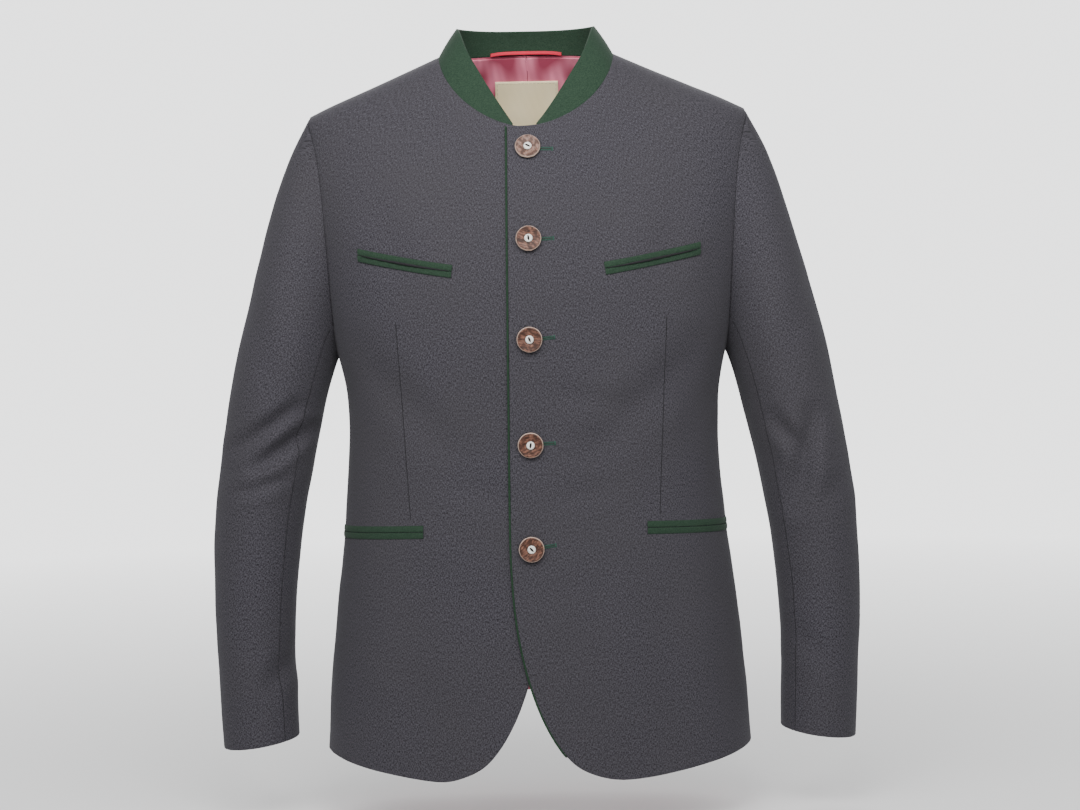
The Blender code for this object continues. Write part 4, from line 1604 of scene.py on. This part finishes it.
@dataclass
class HornButton:
    """One horn button with its white eyelet, turned as the photo shows it."""

    number: int
    grain_degrees: float
    tone: float
    slit_degrees: float
    segments: int = 64
    map_shift: tuple[float, float] = (1.0, 0.37)
    wear: float = 0.012
    wear_waves: float = 260.0
    wear_shift: float = 3.0
    slit_from: int = 6
    eyelet_segments: int = 40
    disc: tuple[tuple[float, float], ...] = (
        (4.0, 0.0), (4.0, 1.2), (11.2, 1.2), (12.1, 1.6), (12.6, 2.5), (12.45, 3.4), (12.0, 4.05),
        (11.4, 4.4), (10.9, 4.45), (10.3, 4.25), (7.4, 3.85), (5.0, 3.7), (4.6, 3.5), (4.5, 2.45))
    eyelet: tuple[tuple[float, float, float], ...] = (
        (4.05, 4.05, 2.6), (4.15, 4.15, 3.8), (3.95, 3.95, 4.3), (3.5, 3.5, 4.65), (3.1, 2.2, 4.85),
        (2.8, 1.05, 4.85), (2.6, 0.75, 4.6), (2.5, 0.68, 3.0))

    def build(self) -> None:
        """Make and dress the button and its eyelet."""
        seat = turned_frame(f"button_{self.number}")
        self.build_disc(seat)
        self.build_eyelet(seat)

    def build_disc(self, seat: Matrix) -> None:
        """Horn disc with a worn, slightly uneven rim.

        Args:
            seat: the button's frame.
        """
        name = f"button_{self.number}_horn"
        work = stacked_rings([(radius, radius, level) for radius, level in self.disc], self.segments)
        rim_layer = work.verts.layers.float.new(RIM)
        tone_layer = work.verts.layers.float.new(TONE)
        map_layer = work.loops.layers.uv.new(GRAIN_MAP)
        turn = Matrix.Rotation(math.radians(self.grain_degrees), 4, "Z")
        widest = max(radius for radius, _ in self.disc) * MM
        for corner in work.verts:
            corner[rim_layer] = math.hypot(corner.co.x, corner.co.y) / widest
            corner[tone_layer] = self.tone
        for face in work.faces:
            for loop in face.loops:
                flat = turn @ loop.vert.co
                loop[map_layer].uv = flat.xy + Vector(self.map_shift) * self.number
        for corner in work.verts:
            place = corner.co * self.wear_waves + Vector((self.number * self.wear_shift, 0.0, 0.0))
            wear = self.wear * noise.noise(place)
            corner.co.x *= 1.0 + wear
            corner.co.y *= 1.0 + wear
        bmesh.ops.transform(work, matrix=seat, verts=work.verts)
        mesh = finished(work, name)
        mesh.materials.append(HORN.material())
        shade(mesh)
        add_piece(name, mesh, (f"button_{self.number}",))

    def build_eyelet(self, seat: Matrix) -> None:
        """White eyelet with a slit painted dark as its shade.

        Args:
            seat: the button's frame.
        """
        name = f"eyelet_{self.number}_ring"
        work = stacked_rings(self.eyelet, self.eyelet_segments, self.slit_from)
        turn = Matrix.Rotation(math.radians(self.slit_degrees), 4, "Z")
        bmesh.ops.transform(work, matrix=seat @ turn, verts=work.verts)
        mesh = finished(work, name)
        mesh.materials.append(EYELET.material())
        # Second material: painted shade on the slot's faces.
        mesh.materials.append(SLIT_SHADE.material())
        shade(mesh)
        add_piece(name, mesh, (f"eyelet_{self.number}",))


@dataclass
class Buttonhole:
    """Hand-worked buttonhole: two rows of stitches, a slit painted dark as its shade, and an end bar."""

    number: int
    rise: float
    tilt_degrees: float
    start: float = 0.0085
    end: float = 0.0240
    half_slit: float = 0.00045
    slit_lift: float = 0.00003
    slit_steps: int = 12
    reach: float = 0.0016
    pitch: float = 0.00066
    pitch_waver: float = 0.25
    reach_waver: float = 0.10
    waver_steps: tuple[float, float] = (0.9, 0.7)
    thread: float = 0.00030
    stitch_lifts: Triple = (0.0002, 0.00045, -0.0001)
    bar_threads: int = 3
    bar_pitch: float = 0.0005
    bar_reach: float = 1.25
    bar_arc: tuple[tuple[float, float], ...] = (
        (-1.0, -0.0001), (-0.6, 0.0005), (0.6, 0.0005), (1.0, -0.0001))

    def build(self, fronts: ClothFace) -> None:
        """Lay the buttonhole beside its button.

        Args:
            fronts: the fronts' faces.
        """
        stem = f"buttonhole_{self.number}"
        threads = self.stitches(fronts) + self.bar(fronts)
        add_threads(f"{stem}_stitches", threads, self.thread, BUTTONHOLE_THREAD)
        run = (self.end - self.start) / self.slit_steps
        slit = [self.spot(fronts, self.start + run * index, 0.0, self.slit_lift)
                for index in range(self.slit_steps + 1)]
        # The slit is a dark thread painted as the shade in the opening.
        add_threads(f"{stem}_slit", [slit], self.half_slit, SLIT_SHADE)

    def spot(self, fronts: ClothFace, run: float, off: float, lift: float) -> Vector:
        """Point on the cloth beside the slit.

        Args:
            fronts: the fronts' faces.
            run: distance along the slit from the button's middle.
            off: distance off the slit.
            lift: distance off the cloth.

        Returns:
            The point.
        """
        middle = turned_frame(f"button_{self.number}").translation
        tilt = math.radians(self.tilt_degrees)
        along = Vector((math.cos(tilt), math.sin(tilt)))
        across = Vector((-along.y, along.x))
        flat = Vector((middle.x, middle.z + self.rise)) + along * run + across * off
        return fronts.under(flat.x, flat.y, lift)

    def stitches(self, fronts: ClothFace) -> list[list[Vector]]:
        """Paths of the stitches on both sides of the slit.

        Args:
            fronts: the fronts' faces.

        Returns:
            The points of each thread.
        """
        rows = []
        for index in range(int((self.end - self.start) / self.pitch)):
            slip = self.pitch_waver * noise.noise(Vector((index * self.waver_steps[0], self.number, 0.0)))
            run = self.start + self.pitch * (index + slip)
            for sign in (-1.0, 1.0):
                uneven = noise.noise(Vector((index * self.waver_steps[1], sign, self.number)))
                outer = self.reach * (1.0 + self.reach_waver * uneven)
                offs = (self.half_slit, 0.5 * outer, outer)
                rows.append([self.spot(fronts, run, sign * off, lift)
                             for off, lift in zip(offs, self.stitch_lifts)])
        return rows

    def bar(self, fronts: ClothFace) -> list[list[Vector]]:
        """Paths of the threads across the slit's outer end.

        Args:
            fronts: the fronts' faces.

        Returns:
            The points of each thread.
        """
        width = self.reach * self.bar_reach
        runs = [self.end + self.bar_pitch * index for index in range(self.bar_threads)]
        return [[self.spot(fronts, run, share * width, lift) for share, lift in self.bar_arc] for run in runs]


BUTTONS = (HornButton(1, 55.0, 0.60, -28.0), HornButton(2, 18.0, 0.10, 97.0), HornButton(3, 8.0, 0.15, 112.0),
           HornButton(4, -12.0, 0.10, 80.0), HornButton(5, 140.0, 0.10, 133.0))
SLITS = tuple(PocketSlit("chest", side, 0.0013) for side in Side)
BUTTONHOLES = (Buttonhole(1, -0.0014, -1.0), Buttonhole(2, -0.0012, 3.0), Buttonhole(3, -0.0008, 6.0),
               Buttonhole(4, 0.0006, 2.0, end=0.0235), Buttonhole(5, 0.0002, 8.0, end=0.0235))


def aim_light(name: str, data: bpy.types.Light, place: Triple, target: Triple) -> None:
    """Link a light that looks at a point.

    Args:
        name: the light's name.
        data: its settings.
        place: its position.
        target: the point.
    """
    light = bpy.data.objects.new(name, data)
    light.location = place
    aim = Vector(target) - Vector(place)
    light.rotation_euler = aim.to_track_quat("-Z", "Y").to_euler()
    bpy.context.scene.collection.objects.link(light)


@dataclass(frozen=True)
class SoftLight:
    """A square soft light aimed at the chest: its place, edge length and watts."""

    name: str
    place: Triple
    size: float
    power: float
    target: Triple = (0.0, 0.0, -0.35)

    def build(self) -> None:
        """Add the light."""
        data = bpy.data.lights.new(self.name, "AREA")
        data.size = self.size
        data.energy = self.power
        aim_light(self.name, data, self.place, self.target)


@dataclass(frozen=True)
class NeckLight:
    """A narrow soft light into the neck."""

    name: str = "neck"
    place: Triple = (-0.08, -1.20, 0.22)
    target: Triple = (0.002, 0.040, -0.026)
    power: float = 44.0
    cone_degrees: float = 5.4
    radius: float = 0.06

    def build(self) -> None:
        """Add the light."""
        data = bpy.data.lights.new(self.name, "SPOT")
        data.energy = self.power
        data.spot_size = math.radians(self.cone_degrees)
        data.spot_blend = 1.0
        data.shadow_soft_size = self.radius
        aim_light(self.name, data, self.place, self.target)


@dataclass
class Studio:
    """Pale floor, soft lights and the camera at the photo's viewing angle."""

    lights: tuple[SoftLight | NeckLight, ...] = (
        SoftLight("key", (-0.85, -1.35, 0.75), 1.1, 18.0),
        SoftLight("fill", (0.90, -1.30, 0.65), 1.1, 13.0),
        SoftLight("front", (0.0, -1.00, 0.50), 0.5, 9.2),
        SoftLight("back", (0.0, 1.6, 0.9), 1.4, 26.0),
        NeckLight())
    floor_height: float = -0.775
    floor_half: float = 6.0
    lens: float = 85.0
    sensor: float = 36.0
    eye: Triple = (0.007, -2.622, -0.198)
    target: Triple = (0.007, 0.0, -0.358)
    roll_degrees: float = -1.2
    backdrop: Colour = (0.95, 0.955, 0.96)
    backdrop_strength: float = 2.6
    light_strength: float = 0.36

    def build(self) -> None:
        """Make the floor, lights and camera."""
        self.build_floor()
        for light in self.lights:
            light.build()
        self.build_world()
        self.build_camera()

    def build_floor(self) -> None:
        """Lay a wide pale floor under the hem."""
        work = bmesh.new()
        bmesh.ops.create_grid(work, x_segments=1, y_segments=1, size=self.floor_half)
        bmesh.ops.translate(work, verts=work.verts, vec=(0.0, 0.0, self.floor_height))
        mesh = finished(work, "floor")
        mesh.materials.append(FLOOR.material())
        floor = bpy.data.objects.new("floor", mesh)
        bpy.context.scene.collection.objects.link(floor)

    def build_world(self) -> None:
        """Set the pale surroundings."""
        world = bpy.data.worlds.new("studio")
        bpy.context.scene.world = world
        world.use_nodes = True
        board = NodeBoard(world.node_tree)
        tint = (*self.backdrop, 1.0)
        lit = board.add("ShaderNodeBackground", {"Color": tint, "Strength": self.light_strength})
        seen = board.add("ShaderNodeBackground", {"Color": tint, "Strength": self.backdrop_strength})
        camera_ray = board.add("ShaderNodeLightPath").outputs["Is Camera Ray"]
        both = board.add("ShaderNodeMixShader", {0: camera_ray, 1: lit.outputs[0], 2: seen.outputs[0]})
        board.tree.links.new(both.outputs[0], world.node_tree.nodes["World Output"].inputs["Surface"])

    def build_camera(self) -> None:
        """Place the camera, turned a little about its own axis as the photo was."""
        data = bpy.data.cameras.new("camera")
        data.lens = self.lens
        data.sensor_width = self.sensor
        camera = bpy.data.objects.new("camera", data)
        aim = Vector(self.target) - Vector(self.eye)
        turn = aim.to_track_quat("-Z", "Y").to_matrix().to_4x4()
        roll = Matrix.Rotation(math.radians(self.roll_degrees), 4, "Z")
        camera.matrix_world = Matrix.Translation(self.eye) @ turn @ roll
        bpy.context.scene.collection.objects.link(camera)
        bpy.context.scene.camera = camera


def main() -> None:
    """Dress the jacket and set up the studio."""
    logging.basicConfig(level=logging.INFO, format="%(message)s")
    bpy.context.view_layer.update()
    shells = Body().build()
    EdgeSeat().build(shells["front_piping"].data, shells["front_left"].data)
    SeamLines().build(shells)
    fronts = ClothFace([shells["front_left"], shells["front_right"]])
    linings = ClothFace([shells["lining_left"], shells["lining_right"]])
    Sewing().build(fronts, linings, ClothFace([shells["label"]]))
    for slit in SLITS:
        slit.build(shells)
    for button in BUTTONS:
        button.build()
    for buttonhole in BUTTONHOLES:
        buttonhole.build(fronts)
    Studio().build()


if __name__ == "__main__":
    main()
